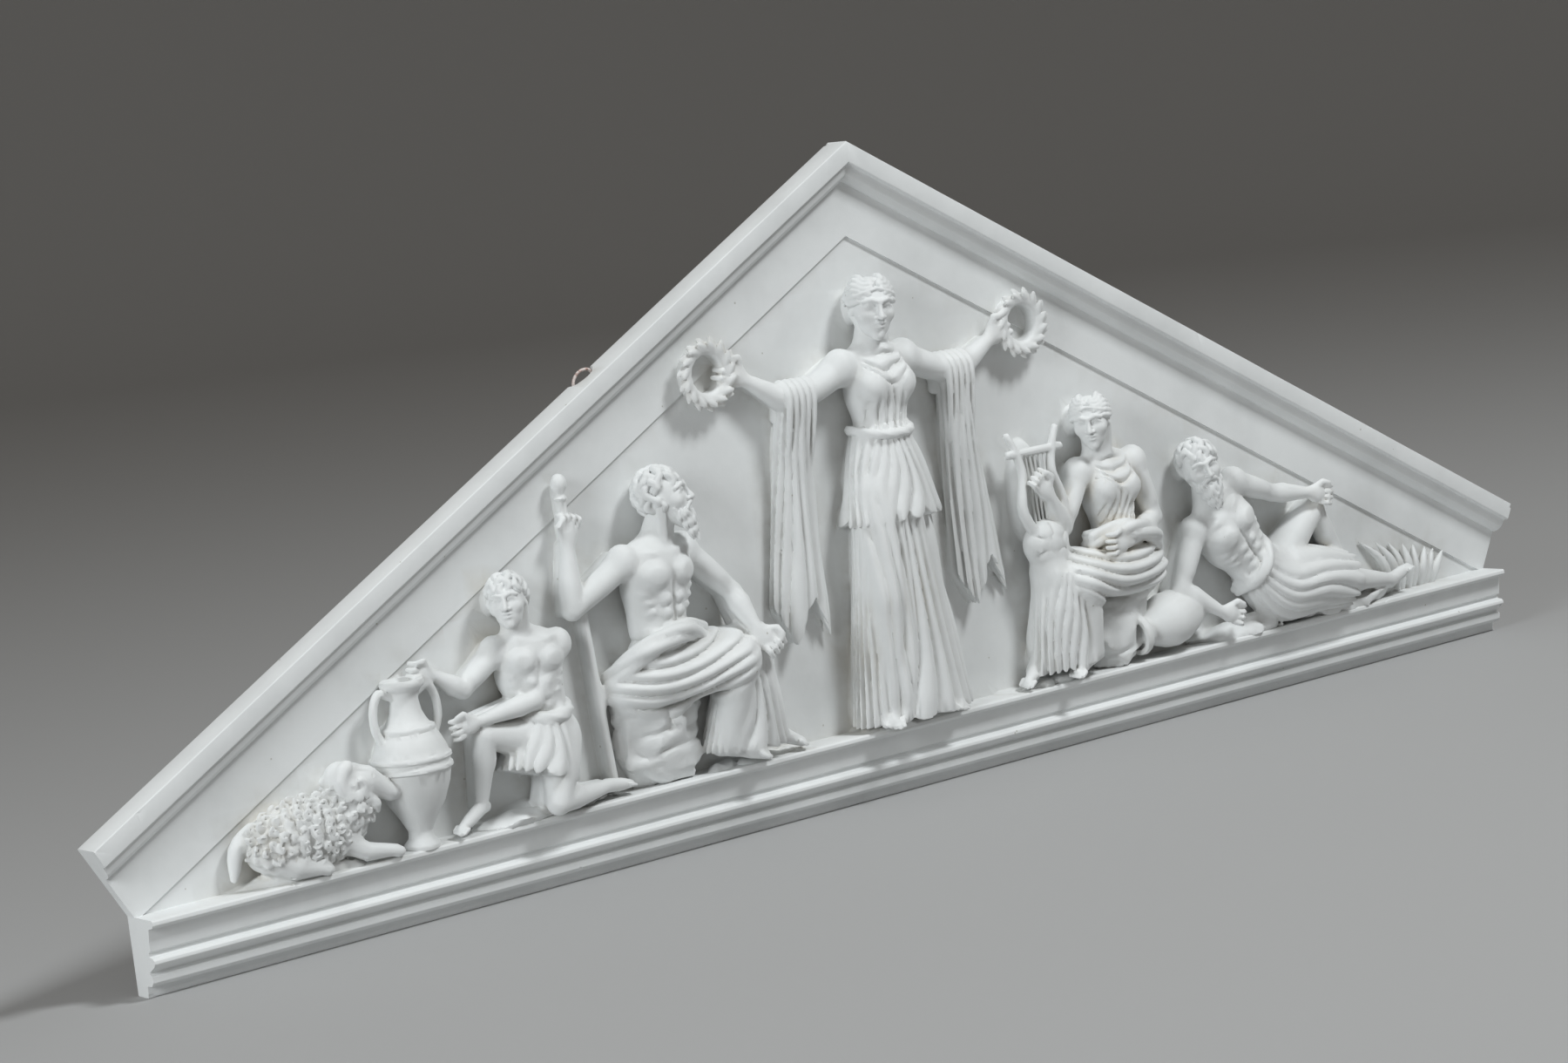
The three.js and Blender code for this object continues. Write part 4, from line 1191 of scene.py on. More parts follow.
def quadObject(name, points, quads):
    # the same for a very large mesh
    mesh = bpy.data.meshes.new(name)
    mesh.vertices.add(len(points))
    mesh.vertices.foreach_set("co", points.astype(np.float32).ravel())
    mesh.loops.add(quads.size)
    mesh.loops.foreach_set("vertex_index", quads.astype(np.int32).ravel())
    mesh.polygons.add(len(quads))
    mesh.polygons.foreach_set("loop_start", np.arange(0, quads.size, 4, dtype=np.int32))
    mesh.update(calc_edges=True)
    mesh.validate()
    return linked(name, mesh)


def baked(piece):
    # the evaluated mesh takes the place of the modifiers
    graph = bpy.context.evaluated_depsgraph_get()
    mesh = bpy.data.meshes.new_from_object(piece.evaluated_get(graph))
    piece.modifiers.clear()
    old = piece.data
    piece.data = mesh
    bpy.data.meshes.remove(old)
    return piece


def toFrame(points):
    # relief millimetres (across, up, proud) to the frame's metres
    depth = -(panel["fieldDepth"] + points[:, 2])
    return np.stack([points[:, 0], depth, points[:, 1] - panel["backCentre"]], 1) * mm


def skinObject(name, field, mostTriangles):
    points, quads = skinOf(field, grid["low"], grid["cell"])
    piece = quadObject(name, toFrame(points), quads)
    count = 2 * len(quads)
    if count > mostTriangles:
        thin = piece.modifiers.new("thin", "DECIMATE")
        thin.ratio = mostTriangles / count
        baked(piece)
    print(name, "skin:", count, "triangles, kept", min(count, mostTriangles))
    return piece


def headObject(pose):
    # a head has a finer grid of its own
    body = Body(pose)
    skull = np.array(pose["skull"], float)
    reach = carving["headReach"] * body.u
    startCarving(skull - reach, skull + reach, carving["headCell"])
    carveHead(body)
    behind = carving["low"][2] - grid["p"]
    grid["field"] = np.maximum(grid["field"], behind).astype(np.float32)
    return skinObject("head", grid["field"], carving["headTriangles"])


def reliefObject():
    carveAll()
    field, z, p = grid["field"], grid["z"], grid["p"]
    ground = p - carving["groundAt"]
    blend = carving["groundBlend"]
    footed = softMin(field, ground + 0 * field, blend)
    footed = np.maximum(footed, field - carving["groundReach"])
    sunk = np.where(p > carving["shelfFrom"], carving["sunkBefore"], carving["sunkBehind"])
    shelf = panel["stripHeight"] - sunk - z
    grid["field"] = np.maximum(footed, shelf).astype(np.float32)
    return skinObject("relief", grid["field"], carving["triangles"])


headForms = [headObject(pose) for pose in (wreathBearer, elder, lyrePlayer, jarBoy, riverMan)]
reliefForm = reliefObject()


# the frame: a plate with a sunk field, and three runs of moulding

# (depth from the back, height) of the strip, (distance from the outer edge, depth) of the rakes
mouldings = {
    "strip": [
        # foot
        (0, 0), (10.8, 0), (11, 6.2),
        # lower roll
        (15.8, 6.5), (17.3, 8.4), (17.6, 11.6), (17, 12.4), (15.2, 12.8), (15.8, 13.9),
        # upper roll
        (18.6, 15.7), (20.9, 17), (21.9, 18.6), (21.7, 20.2), (20.4, 21.3), (17.2, 21.7),
        # flat face
        (17, 24), (18.9, 24.6), (19.3, 30), (20.2, 36.2),
        # lip and top
        (24.2, 37), (25.2, 38.4), (25, 40.2), (24.2, 41), (0, 41),
    ],
    "rake": [
        # flat edge
        (0, 0), (0, 17.5), (10.5, 17.5), (10.8, 14.3), (13, 14.2),
        # the slope inside it
        (16, 13.2), (18.2, 11), (19.3, 8.4), (19.3, 0),
    ],
    "arris": 0.7,        # rounding of the edges
    "step": 9.0,         # length of one stretch of the run
    "unevenness": 0.35,  # how far a hand-cast edge wanders
    "wanderScale": 26.0,
    "steadyDepth": 6.0,  # the wandering starts at the back and is full at this depth
}


def profileObject(name, points):
    # a closed section (depth, distance down), run so that the drawn faces point outwards
    section = bpy.data.curves.new(name, "CURVE")
    section.dimensions = "2D"
    spline = section.splines.new("POLY")
    spline.points.add(len(points) - 1)
    if sum(a[0] * b[1] - b[0] * a[1] for a, b in zip(points, points[1:] + points[:1])) < 0:
        points = points[::-1]
    for point, (across, up) in zip(spline.points, points):
        point.co = (across * mm, up * mm, 0, 1)
    spline.use_cyclic_u = True
    return linked(name, section)


def newTree(name, inputs):
    tree = bpy.data.node_groups.new(name, "GeometryNodeTree")
    sockets = {}
    for label, kind in inputs:
        kind = "NodeSocket" + kind
        sockets[label] = tree.interface.new_socket(name=label, in_out="INPUT", socket_type=kind)
    tree.interface.new_socket(name="Geometry", in_out="OUTPUT", socket_type="NodeSocketGeometry")
    return tree, sockets


def nodeMaker(tree):
    def node(kind, links=None, **settings):
        made = tree.nodes.new(kind)
        for key, value in settings.items():
            setattr(made, key, value)
        for key, value in (links or {}).items():
            socket = made.inputs[key]
            if isinstance(value, bpy.types.NodeSocket):
                tree.links.new(value, socket)
            else:
                socket.default_value = value
        return made

    return node


def noiseOf(node, spot, scale, detail, roughness=0.5):
    return node("ShaderNodeTexNoise", {
        "Vector": spot, "Scale": scale, "Detail": detail, "Roughness": roughness,
    }).outputs["Fac"]


def remap(node, value, low, high):
    return node("ShaderNodeMapRange", {"Value": value, "From Min": low, "From Max": high}).outputs["Result"]


def maths(node, operation, a, b):
    return node("ShaderNodeMath", {0: a, 1: b}, operation=operation).outputs[0]


def tint(node, share, a, b):
    return node("ShaderNodeMix", {"Factor": share, "A": a, "B": b}, data_type="RGBA").outputs["Result"]


def bumpOf(node, height, strength, distance, under=None, **settings):
    links = {"Strength": strength, "Distance": distance * mm, "Height": height}
    if under is not None:
        links["Normal"] = under
    return node("ShaderNodeBump", links, **settings).outputs["Normal"]


def closeTree(node, geometry, finish):
    whole = node("GeometryNodeRealizeInstances", {"Geometry": geometry}).outputs["Geometry"]
    whole = node("GeometryNodeSetMaterial", {"Geometry": whole, "Material": finish}).outputs["Geometry"]
    node("NodeGroupOutput", {"Geometry": whole})


def mouldingTree():
    # a section drawn along X, its far end mitred, then turned and moved into place
    tree, sockets = newTree("mouldingRun", [
        ("Section", "Object"), ("Length", "Float"), ("Stretches", "Int"), ("Arris", "Float"),
        ("Mitre", "Float"), ("Unevenness", "Float"), ("Mirrored", "Bool"), ("Turn", "Rotation"),
        ("Place", "Vector"), ("Finish", "Material"),
    ])
    node = nodeMaker(tree)
    given = node("NodeGroupInput").outputs
    section = node("GeometryNodeObjectInfo", {"Object": given["Section"]}).outputs["Geometry"]
    rounded = node("GeometryNodeFilletCurve", {
        "Curve": section, "Radius": given["Arris"], "Limit Radius": True, "Count": 3,
    }, mode="POLY")
    end = node("ShaderNodeCombineXYZ", {"X": given["Length"]}).outputs["Vector"]
    line = node("GeometryNodeCurvePrimitiveLine", {"End": end}).outputs["Curve"]
    line = node("GeometryNodeResampleCurve", {
        "Curve": line, "Count": given["Stretches"],
    }).outputs["Curve"]
    line = node("GeometryNodeSetCurveNormal", {"Curve": line}, mode="Z_UP").outputs["Curve"]
    run = node("GeometryNodeCurveToMesh", {
        "Curve": line, "Profile Curve": rounded.outputs["Curve"], "Fill Caps": True,
    }).outputs["Mesh"]
    position = node("GeometryNodeInputPosition").outputs["Position"]
    parts = node("ShaderNodeSeparateXYZ", {"Vector": position}).outputs
    share = maths(node, "DIVIDE", parts["X"], given["Length"])
    slide = maths(node, "MULTIPLY", parts["Z"], given["Mitre"])
    slide = maths(node, "MULTIPLY", slide, share)
    mitre = node("ShaderNodeCombineXYZ", {"X": slide}).outputs["Vector"]
    # the edges wander a little, but not those that lie against the wall
    noise = node("ShaderNodeTexNoise", {
        "Vector": position, "Scale": mouldings["wanderScale"], "Detail": 3.0,
    }).outputs["Color"]
    noise = node("ShaderNodeVectorMath", {0: noise, 1: (0.5, 0.5, 0.5)}, operation="SUBTRACT").outputs[0]
    wander = node("ShaderNodeVectorMath", {
        0: noise, "Scale": given["Unevenness"],
    }, operation="SCALE").outputs[0]
    proud = remap(node, parts["Y"], 0.0, -mouldings["steadyDepth"] * mm)
    sideways = node("ShaderNodeCombineXYZ", {"Y": proud, "Z": proud}).outputs["Vector"]
    wander = node("ShaderNodeVectorMath", {0: wander, 1: sideways}, operation="MULTIPLY").outputs[0]
    shift = node("ShaderNodeVectorMath", {0: mitre, 1: wander}, operation="ADD").outputs[0]
    run = node("GeometryNodeSetPosition", {"Geometry": run, "Offset": shift}).outputs["Geometry"]
    placed = node("GeometryNodeTransform", {
        "Geometry": run, "Rotation": given["Turn"], "Translation": given["Place"],
    }).outputs["Geometry"]
    other = node("GeometryNodeTransform", {
        "Geometry": placed, "Scale": (-1.0, 1.0, 1.0),
    }).outputs["Geometry"]
    other = node("GeometryNodeFlipFaces", {"Mesh": other}).outputs["Mesh"]
    chosen = node("GeometryNodeSwitch", {
        "Switch": given["Mirrored"], "False": placed, "True": other,
    }, input_type="GEOMETRY").outputs[0]
    closeTree(node, chosen, given["Finish"])
    return tree, sockets


def treeObject(name, tree, sockets, values):
    piece = meshObject(name, [], [])
    modifier = piece.modifiers.new(name, "NODES")
    modifier.node_group = tree
    for label, value in values.items():
        modifier[sockets[label].identifier] = value
    return baked(piece)


# the plate starts inside the mouldings and shows at its two cut ends
plate = {
    "under": 3.0,        # its lower edge, above the strip's underside
    "endInset": 0.5,     # how far that edge stops short of the strip's ends
    "rakeInset": 10.0,   # how far it stops short of the rakes' outer edges
    "fieldSunk": 1.0,    # the field runs this far down behind the strip
    "patch": 14.0,       # it is divided into squares of this size
}


def plateObject():
    back, stripTop = panel["backCentre"], panel["stripHeight"]
    under, inset, footHalf = plate["under"], plate["rakeInset"], stripHalf - plate["endInset"]
    endX, endZ = rakeCornerX - inset * math.sin(pitch), rakeCornerZ - inset * math.cos(pitch)
    outline = [
        (-footHalf, under), (footHalf, under), (stripHalf, stripTop), (endX, endZ),
        (0, panel["apexHeight"] - inset / math.cos(pitch)), (-endX, endZ), (-stripHalf, stripTop),
    ]
    fieldFoot = stripTop - plate["fieldSunk"]
    field = [(-fieldHalf, fieldFoot), (fieldHalf, fieldFoot), (0, fieldApex)]
    band, sunk = -panel["bandDepth"], -panel["fieldDepth"]
    points = [(x, band, z - back) for x, z in outline] + [(x, 0, z - back) for x, z in outline]
    points += [(x, band, z - back) for x, z in field] + [(x, sunk, z - back) for x, z in field]
    n = len(outline)
    left, right, top = 2 * n, 2 * n + 1, 2 * n + 2
    faces = [
        (0, 1, 2, right, left, 6), (2, 3, 4, top, right), (4, 5, 6, left, top),
        tuple(range(2 * n - 1, n - 1, -1)), (left + 3, right + 3, top + 3),
    ]
    faces += [(i, i + n, (i + 1) % n + n, (i + 1) % n) for i in range(n)]
    faces += [(left + i, left + (i + 1) % 3, left + 3 + (i + 1) % 3, left + 3 + i) for i in range(3)]
    piece = meshObject("plate", np.array(points) * mm, faces)
    bm = bmesh.new()
    bm.from_mesh(piece.data)
    for axis, reach in ((0, rakeCornerX), (2, panel["apexHeight"])):
        for cutAt in np.arange(-reach, reach, plate["patch"]):
            spot, normal = Vector((0, 0, 0)), Vector((0, 0, 0))
            spot[axis] = cutAt * mm
            normal[axis] = 1
            everything = [*bm.verts, *bm.edges, *bm.faces]
            bmesh.ops.bisect_plane(bm, geom=everything, plane_co=spot, plane_no=normal)
    bmesh.ops.triangulate(bm, faces=bm.faces)
    bm.to_mesh(piece.data)
    bm.free()
    return piece


def mouldingObjects():
    tree, sockets = mouldingTree()
    stripSection = profileObject("stripSection", [(d, -h) for d, h in mouldings["strip"]])
    rakeSection = profileObject("rakeSection", [(d, away) for away, d in mouldings["rake"]])
    rakeLength = rakeCornerX / math.cos(pitch)
    shared = {
        "Arris": mouldings["arris"] * mm, "Unevenness": mouldings["unevenness"] * mm,
        "Finish": plasterFinish,
    }
    strip = treeObject("strip", tree, sockets, {
        **shared, "Section": stripSection, "Length": 2 * stripHalf * mm, "Mitre": 0.0, "Mirrored": False,
        "Stretches": round(2 * stripHalf / mouldings["step"]), "Turn": (0.0, 0.0, 0.0),
        "Place": (-stripHalf * mm, 0.0, -panel["backCentre"] * mm),
    })
    runs = [strip]
    for mirrored in (False, True):
        runs.append(treeObject("rake", tree, sockets, {
            **shared, "Section": rakeSection, "Length": rakeLength * mm, "Mitre": math.tan(pitch),
            "Stretches": round(rakeLength / mouldings["step"]), "Mirrored": mirrored,
            "Turn": (0.0, -pitch, 0.0),
            "Place": (-rakeCornerX * mm, 0.0, (rakeCornerZ - panel["backCentre"]) * mm),
        }))
    for section in (stripSection, rakeSection):
        bpy.data.objects.remove(section)
    return runs


# the wire loop in the back edge of the left rake

loop = {
    "x": -190.0, "radius": 0.9, "gap": 0.35, "inset": 2.4,
    "route": [(-7.5, -10), (-7.5, -5), (-6, 0.6), (0, 3), (6, 0.6), (7.5, -5), (7.5, -10)],
    "steps": 41, "sides": 14,      # how finely it is drawn
    "hollow": (9.5, 8.0, 8.0),     # the scoop around it: along the slope, forward, outward
    "hollowDetail": 4,
    "ripple": 0.04,                # how uneven the scoop is
    "socketDeeper": 1.0,           # how far the sockets run on past the wire's ends
}
slopeUp = np.array([math.cos(pitch), 0, math.sin(pitch)])
slopeOut = np.array([-math.sin(pitch), 0, math.cos(pitch)])
loopFoot = np.array([
    loop["x"], 0, panel["apexHeight"] + loop["x"] * math.tan(pitch) - panel["backCentre"],
])


def loopPoint(along, out):
    return (loopFoot + along * slopeUp + out * slopeOut + (0, -loop["inset"], 0)) * mm


def wireTree():
    # a round wire drawn along a poly line through its points
    tree, sockets = newTree("wireRun", [
        ("Route", "Object"), ("Radius", "Float"), ("Sides", "Int"), ("Finish", "Material"),
    ])
    node = nodeMaker(tree)
    given = node("NodeGroupInput").outputs
    route = node("GeometryNodeObjectInfo", {"Object": given["Route"]}).outputs["Geometry"]
    ring = node("GeometryNodeCurvePrimitiveCircle", {
        "Resolution": given["Sides"], "Radius": given["Radius"],
    }).outputs["Curve"]
    run = node("GeometryNodeCurveToMesh", {
        "Curve": route, "Profile Curve": ring, "Fill Caps": True,
    }).outputs["Mesh"]
    smooth = node("GeometryNodeSetShadeSmooth", {"Geometry": run}).outputs["Geometry"]
    closeTree(node, smooth, given["Finish"])
    return tree, sockets


def routeObject(points):
    line = bpy.data.curves.new("route", "CURVE")
    line.dimensions = "3D"
    spline = line.splines.new("POLY")
    spline.points.add(len(points) - 1)
    for point, spot in zip(spline.points, points):
        point.co = (*spot, 1)
    return linked("route", line)


def wireObject(name, extra, deeper):
    tree, sockets = wireTree()
    bends = list(loop["route"])
    for end in (0, -1):
        along, out = bends[end]
        bends[end] = (along, out - deeper)
    route = routeObject(curve([loopPoint(along, out) for along, out in bends], loop["steps"]))
    piece = treeObject(name, tree, sockets, {
        "Route": route, "Radius": (loop["radius"] + extra) * mm, "Sides": loop["sides"],
        "Finish": wireFinish,
    })
    bpy.data.objects.remove(route)
    return piece


def lumpObject(name, detail, shaped):
    # a ball whose points are moved one by one, in millimetres
    bm = bmesh.new()
    bmesh.ops.create_icosphere(bm, subdivisions=detail, radius=1)
    for v in bm.verts:
        v.co = Vector(shaped(v.co) * mm)
    mesh = bpy.data.meshes.new(name)
    bm.to_mesh(mesh)
    bm.free()
    return linked(name, mesh)


def hollowObject():
    # an egg on the back edge, scooped out for the loop
    axes = np.array([slopeUp, [0, 1, 0], slopeOut])

    def shaped(spot):
        local = np.array(spot) * loop["hollow"]
        ripple = 1 + loop["ripple"] * math.sin(5 * spot.x + 3 * spot.z) * math.sin(6 * spot.y)
        return loopFoot + ripple * (local @ axes)

    return lumpObject("hollow", loop["hollowDetail"], shaped)


# small losses along the edges: (across, depth, up) and size, millimetres, heights above the underside
chips = {
    "places": [
        # along the strip
        ((-421, 26, 42.5), 3.4), ((-417, 26.5, 41), 2.6), ((-120, 25.8, 41.6), 1.9),
        ((214, 25.8, 41.8), 1.7), ((389, 26, 41.4), 2.2), ((-501, 23, 24), 2.4), ((-500, 12.6, 0.5), 2.6),
        ((501, 22, 17), 2.2),
        # along the rakes
        ((-523.6, 18.0, 80.6), 1.3), ((-517, 18.3, 84.4), 0.9), ((-497, 18.2, 94), 1.1),
        ((524, 18.4, 79), 2.8), ((0, 18.4, 374.6), 2.2), ((-2.5, 0.4, 373.5), 2.4), ((258, 18.4, 230), 1.8),
        ((-322, 18.3, 194), 1.5), ((96, 18.3, 321), 1.4),
        # under the strip
        ((300, 12.2, 4), 2.0), ((-240, 17.9, 8), 1.6),
    ],
    "seed": 11, "detail": 2, "ragged": (0.78, 1.1), "long": (1.0, 1.9), "deep": 0.9, "tall": (0.7, 1.0),
}


def chipObjects():
    rng = np.random.default_rng(chips["seed"])
    made = []
    for (x, depth, up), size in chips["places"]:
        middle = (x, -depth, up - panel["backCentre"])
        wide, tall = (rng.uniform(*chips[k]) for k in ("long", "tall"))
        stretch = size * np.array([wide, chips["deep"], tall])

        def shaped(spot):
            return np.array(spot) * stretch * rng.uniform(*chips["ragged"]) + middle

        made.append(lumpObject("chip", chips["detail"], shaped))
    return made


def keepMain(piece):
    # drops the crumbs and closed pockets that joining leaves behind
    bm = bmesh.new()
    bm.from_mesh(piece.data)
    rest = set(bm.verts)
    bodies = []
    while rest:
        queue = [rest.pop()]
        body = []
        while queue:
            vertex = queue.pop()
            body.append(vertex)
            near = {edge.other_vert(vertex) for edge in vertex.link_edges} & rest
            rest -= near
            queue.extend(near)
        bodies.append(body)
    bodies.sort(key=len)
    crumbs = [vertex for body in bodies[:-1] for vertex in body]
    bmesh.ops.delete(bm, geom=crumbs, context="VERTS")
    bm.to_mesh(piece.data)
    bm.free()
    print("dropped", len(bodies) - 1, "crumbs")


def combine(piece, others, operation):
    for other in others:
        modifier = piece.modifiers.new(operation, "BOOLEAN")
        modifier.operation = operation
        modifier.solver = "MANIFOLD"
        modifier.object = other
        baked(piece)
        bpy.data.objects.remove(other)
    return piece


# finishes

def newFinish(name):
    finish = bpy.data.materials.new(name)
    finish.use_nodes = True
    finish.node_tree.nodes.clear()
    return finish, nodeMaker(finish.node_tree)


plasterLook = {
    "white": (0.82, 0.835, 0.835, 1), "shade": (0.72, 0.735, 0.735, 1),
    "cloudScale": 14.0, "cloud": (0.42, 0.72),
    # painted shade: a dark warm colour laid into the hollows by how closed in they are, broken by a fine
    # speckle, and into the pinholes
    "hollowShade": (0.36, 0.33, 0.27, 1), "hollowShadeShare": 0.55, "speckScale": 160.0,
    # a warm painted shade, in patches, for the hollows
    "warmShadeColour": (0.62, 0.52, 0.36, 1), "warmShadeShare": 0.35, "warmShadeScale": 9.0, "warmShadePatches": (0.56, 0.72),
    "pinholes": 70.0, "pinholeSize": 0.045, "pinholeCells": 0.25, "pinholeShade": 0.5,
    "handScale": 120.0, "handBump": (0.25, 0.6),         # strength, and height in millimetres
    "grainScale": 900.0, "grainBump": (0.12, 0.2), "pinholeBump": (0.6, 0.6),
    "roughness": 0.62, "specular": 0.35,
    "sharpDegrees": 38, "recessReach": (2.5, 5.0),
}


def makePlasterFinish():
    look = plasterLook
    finish, node = newFinish("castPlaster")
    spot = node("ShaderNodeTexCoord").outputs["Object"]
    cloudy = remap(node, noiseOf(node, spot, look["cloudScale"], 4.0, 0.6), *look["cloud"])
    colour = tint(node, cloudy, look["white"], look["shade"])
    recess = node("ShaderNodeAttribute", attribute_name="recess").outputs["Fac"]
    # painted shade in the hollows: the more closed in the carving is round a point, the darker, broken by a
    # fine speckle
    hollowShading = maths(node, "MULTIPLY", recess, noiseOf(node, spot, look["speckScale"], 3.0))
    hollowShading = maths(node, "MULTIPLY", hollowShading, look["hollowShadeShare"])
    colour = tint(node, hollowShading, colour, look["hollowShade"])
    # a warm painted shade in patches of the hollows
    warmShade = remap(node, noiseOf(node, spot, look["warmShadeScale"], 2.0), *look["warmShadePatches"])
    warmShade = maths(node, "MULTIPLY", warmShade, recess)
    warmShade = maths(node, "MULTIPLY", warmShade, look["warmShadeShare"])
    colour = tint(node, warmShade, colour, look["warmShadeColour"])
    # air bubbles left in the cast, in some of the cells
    bubble = node("ShaderNodeTexVoronoi", {"Vector": spot, "Scale": look["pinholes"]})
    hole = maths(node, "LESS_THAN", bubble.outputs["Distance"], look["pinholeSize"])
    chosen = node("ShaderNodeSeparateColor", {"Color": bubble.outputs["Color"]}).outputs["Red"]
    chosen = maths(node, "LESS_THAN", chosen, look["pinholeCells"])
    pinhole = maths(node, "MULTIPLY", hole, chosen)
    # painted shade inside the chosen pinholes, in the same colour as the shade of the hollows
    pinholeShade = maths(node, "MULTIPLY", pinhole, look["pinholeShade"])
    colour = tint(node, pinholeShade, colour, look["hollowShade"])
    normal = bumpOf(node, noiseOf(node, spot, look["handScale"], 5.0, 0.55), *look["handBump"])
    normal = bumpOf(node, noiseOf(node, spot, look["grainScale"], 2.0), *look["grainBump"], normal)
    normal = bumpOf(node, pinhole, *look["pinholeBump"], normal, invert=True)
    shader = node("ShaderNodeBsdfPrincipled", {
        "Base Color": colour, "Roughness": look["roughness"],
        "Specular IOR Level": look["specular"], "Normal": normal,
    })
    node("ShaderNodeOutputMaterial", {"Surface": shader.outputs["BSDF"]})
    return finish


wireLook = {
    "smear": (0.68, 0.6, 0.57, 1), "copper": (0.34, 0.16, 0.12, 1),
    "blotchScale": 420.0, "blotch": (0.48, 0.72),
    "smearRough": 0.7, "copperRough": 0.45, "bump": (0.3, 0.2),
}


def makeWireFinish():
    # plaster smeared over copper, bare in blotches
    look = wireLook
    finish, node = newFinish("copperWire")
    spot = node("ShaderNodeTexCoord").outputs["Object"]
    blotch = remap(node, noiseOf(node, spot, look["blotchScale"], 3.0), *look["blotch"])
    rough = node("ShaderNodeMapRange", {
        "Value": blotch, "To Min": look["smearRough"], "To Max": look["copperRough"],
    }).outputs["Result"]
    shader = node("ShaderNodeBsdfPrincipled", {
        "Base Color": tint(node, blotch, look["smear"], look["copper"]), "Roughness": rough,
        "Metallic": blotch, "Normal": bumpOf(node, blotch, *look["bump"]),
    })
    node("ShaderNodeOutputMaterial", {"Surface": shader.outputs["BSDF"]})
    return finish


plasterFinish = makePlasterFinish()
wireFinish = makeWireFinish()


def markRecesses(piece):
    # how closed in each point is, from the carving a little way out along its normal; the plaster finish
    # paints shade into the hollows by it
    mesh = piece.data
    count = len(mesh.vertices)
    spots, normals = np.empty(3 * count, np.float32), np.empty(3 * count, np.float32)
    mesh.vertices.foreach_get("co", spots)
    mesh.vertices.foreach_get("normal", normals)
    recess = np.zeros(count, np.float32)
    for reach in plasterLook["recessReach"]:
        out = spots.reshape(-1, 3) / mm + reach * normals.reshape(-1, 3)
        proud = -out[:, 1] - panel["fieldDepth"]
        relief = np.stack([out[:, 0], out[:, 2] + panel["backCentre"], proud], 1)
        index = np.round((relief - grid["low"]) / grid["cell"]).astype(int)
        top = np.array(grid["field"].shape) - 1
        within = ((index >= 0) & (index <= top)).all(1)
        index = np.clip(index, 0, top)
        away = np.where(within, grid["field"][tuple(index.T)], reach)
        away = np.minimum(away, np.where(within, proud, reach))
        recess += np.clip(1 - away / reach, 0, 1) / len(plasterLook["recessReach"])
    mark = mesh.attributes.new("recess", "FLOAT", "POINT")
    mark.data.foreach_set("value", recess)


casting = combine(plateObject(), mouldingObjects(), "UNION")
casting = combine(casting, [reliefForm, *headForms], "UNION")
wireSocket = wireObject("wireSocket", loop["gap"], loop["socketDeeper"])
casting = combine(casting, [hollowObject(), wireSocket], "DIFFERENCE")
casting = combine(casting, chipObjects(), "DIFFERENCE")
keepMain(casting)
casting.name = "plasterPediment"
casting.data.materials.clear()
casting.data.materials.append(plasterFinish)
casting.data.polygons.foreach_set("material_index", np.zeros(len(casting.data.polygons), np.int32))
casting.data.shade_smooth()
casting.data.set_sharp_from_angle(angle=math.radians(plasterLook["sharpDegrees"]))
markRecesses(casting)
print("casting:", len(casting.data.loop_triangles), "triangles,", len(casting.data.polygons), "faces")
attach(casting, "root")
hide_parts("plaster_pediment")

wire = wireObject("hangingWire", 0.0, 0.0)
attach(wire, "root")
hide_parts("hanging_wire")
print("wire loop made")


# floor, light and camera

studio = {
    "floor": -panel["backCentre"] * mm, "radius": 7.0, "rise": 4.5, "bend": 2.5,
    "sides": 96, "bendSteps": 12, "colour": (0.42, 0.42, 0.42, 1), "roughness": 0.8,
    "sky": (1.0, 0.93, 0.84, 1), "skyStrength": 0.2,
    "lamps": [      # name, place, size, power, colour
        ("key", (0.75, -1.35, 2.15), 0.6, 42, (0.95, 0.985, 1.0)),
        ("side", (-2.4, -0.8, 0.9), 1.0, 30, (0.94, 0.98, 1.0)),
        ("fill", (-1.6, -2.8, 1.2), 1.8, 3, (1.0, 0.97, 0.93)),
    ],
}


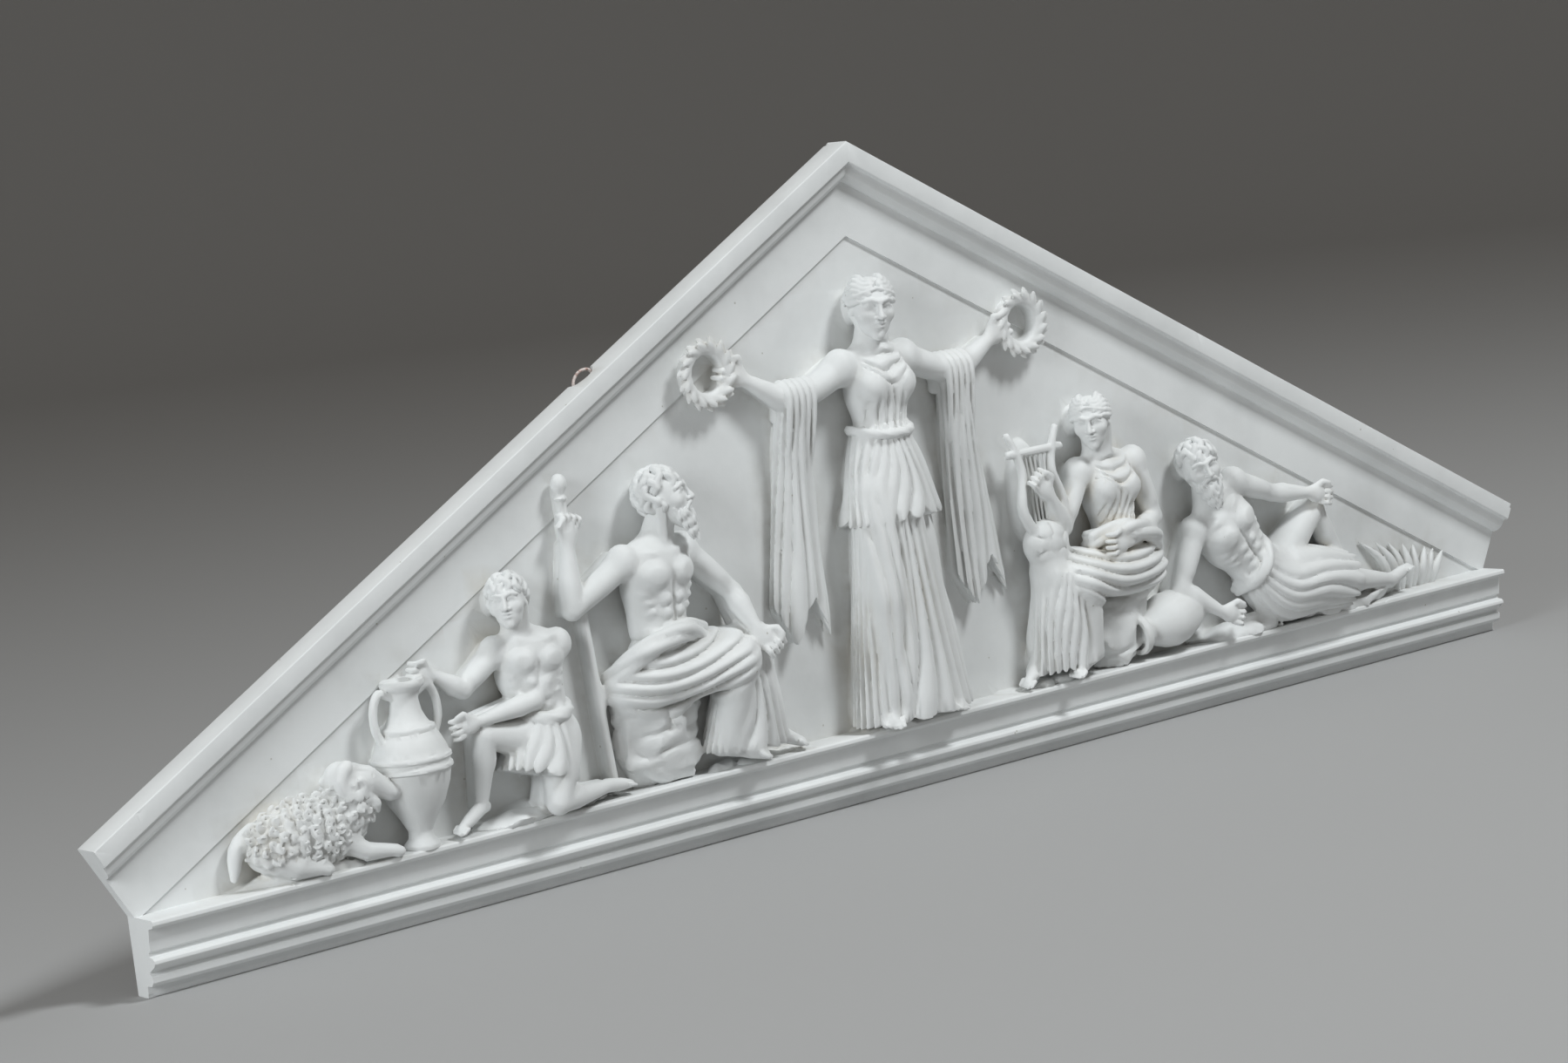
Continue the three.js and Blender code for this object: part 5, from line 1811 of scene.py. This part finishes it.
def makeFloor():
    # a round floor that bends up into a wall all the way round
    flat = studio["radius"] - studio["bend"]
    section = [(0.0, 0.0), (1.0, 0.0), (flat, 0.0)]
    for i in range(1, studio["bendSteps"] + 1):
        turn = 0.5 * math.pi * i / studio["bendSteps"]
        section.append((flat + studio["bend"] * math.sin(turn), studio["bend"] * (1 - math.cos(turn))))
    section.append((studio["radius"], studio["rise"]))
    sides = studio["sides"]
    points = [(0, 0, studio["floor"])]
    for reach, up in section[1:]:
        for i in range(sides):
            turn = 2 * math.pi * i / sides
            points.append((reach * math.cos(turn), reach * math.sin(turn), up + studio["floor"]))
    faces = [(0, 1 + i, 1 + (i + 1) % sides) for i in range(sides)]
    for ring in range(len(section) - 2):
        a, b = 1 + ring * sides, 1 + (ring + 1) * sides
        faces += [(a + i, b + i, b + (i + 1) % sides, a + (i + 1) % sides) for i in range(sides)]
    floor = meshObject("floor", points, faces)
    floor.data.shade_smooth()
    finish, node = newFinish("paleFloor")
    shader = node("ShaderNodeBsdfPrincipled", {
        "Base Color": studio["colour"], "Roughness": studio["roughness"],
    })
    node("ShaderNodeOutputMaterial", {"Surface": shader.outputs["BSDF"]})
    floor.data.materials.append(finish)


def areaLight(name, spot, size, power, colour):
    light = bpy.data.lights.new(name, "AREA")
    light.shape = "DISK"
    light.size = size
    light.energy = power
    light.color = colour
    lamp = linked(name, light)
    lamp.location = spot
    lamp.rotation_euler = (-Vector(spot)).to_track_quat("-Z", "Y").to_euler()


def makeSky():
    world = bpy.data.worlds.new("studioSky")
    world.use_nodes = True
    back = world.node_tree.nodes["Background"]
    back.inputs["Color"].default_value = studio["sky"]
    back.inputs["Strength"].default_value = studio["skyStrength"]
    bpy.context.scene.world = world


# the photograph's viewing angle: place in metres, turns in degrees, focal length in pixels of its frame
shot = {
    "place": (-1.3641, -1.6946, 0.3038), "heading": 37.51, "dip": 7.01, "roll": 6.77,
    "focalPixels": 4381.8, "frameWide": 1800, "sensorWide": 36,
}


def makeCamera():
    heading, dip, roll = (math.radians(shot[k]) for k in ("heading", "dip", "roll"))
    ahead = math.cos(dip)
    forward = Vector((math.sin(heading) * ahead, math.cos(heading) * ahead, -math.sin(dip)))
    level = forward.cross(Vector((0, 0, 1))).normalized()
    upright = level.cross(forward)
    right = level * math.cos(roll) - upright * math.sin(roll)
    up = right.cross(forward)
    lens = bpy.data.cameras.new("camera")
    lens.sensor_fit = "HORIZONTAL"
    lens.sensor_width = shot["sensorWide"]
    lens.lens = shot["focalPixels"] / shot["frameWide"] * shot["sensorWide"]
    camera = linked("camera", lens)
    turn = Matrix((right, up, -forward)).transposed().to_4x4()
    camera.matrix_world = Matrix.Translation(Vector(shot["place"])) @ turn
    bpy.context.scene.camera = camera


makeFloor()
makeSky()
for lamp in studio["lamps"]:
    areaLight(*lamp)
makeCamera()
bpy.context.scene.view_settings.view_transform = "Standard"
print("studio ready")
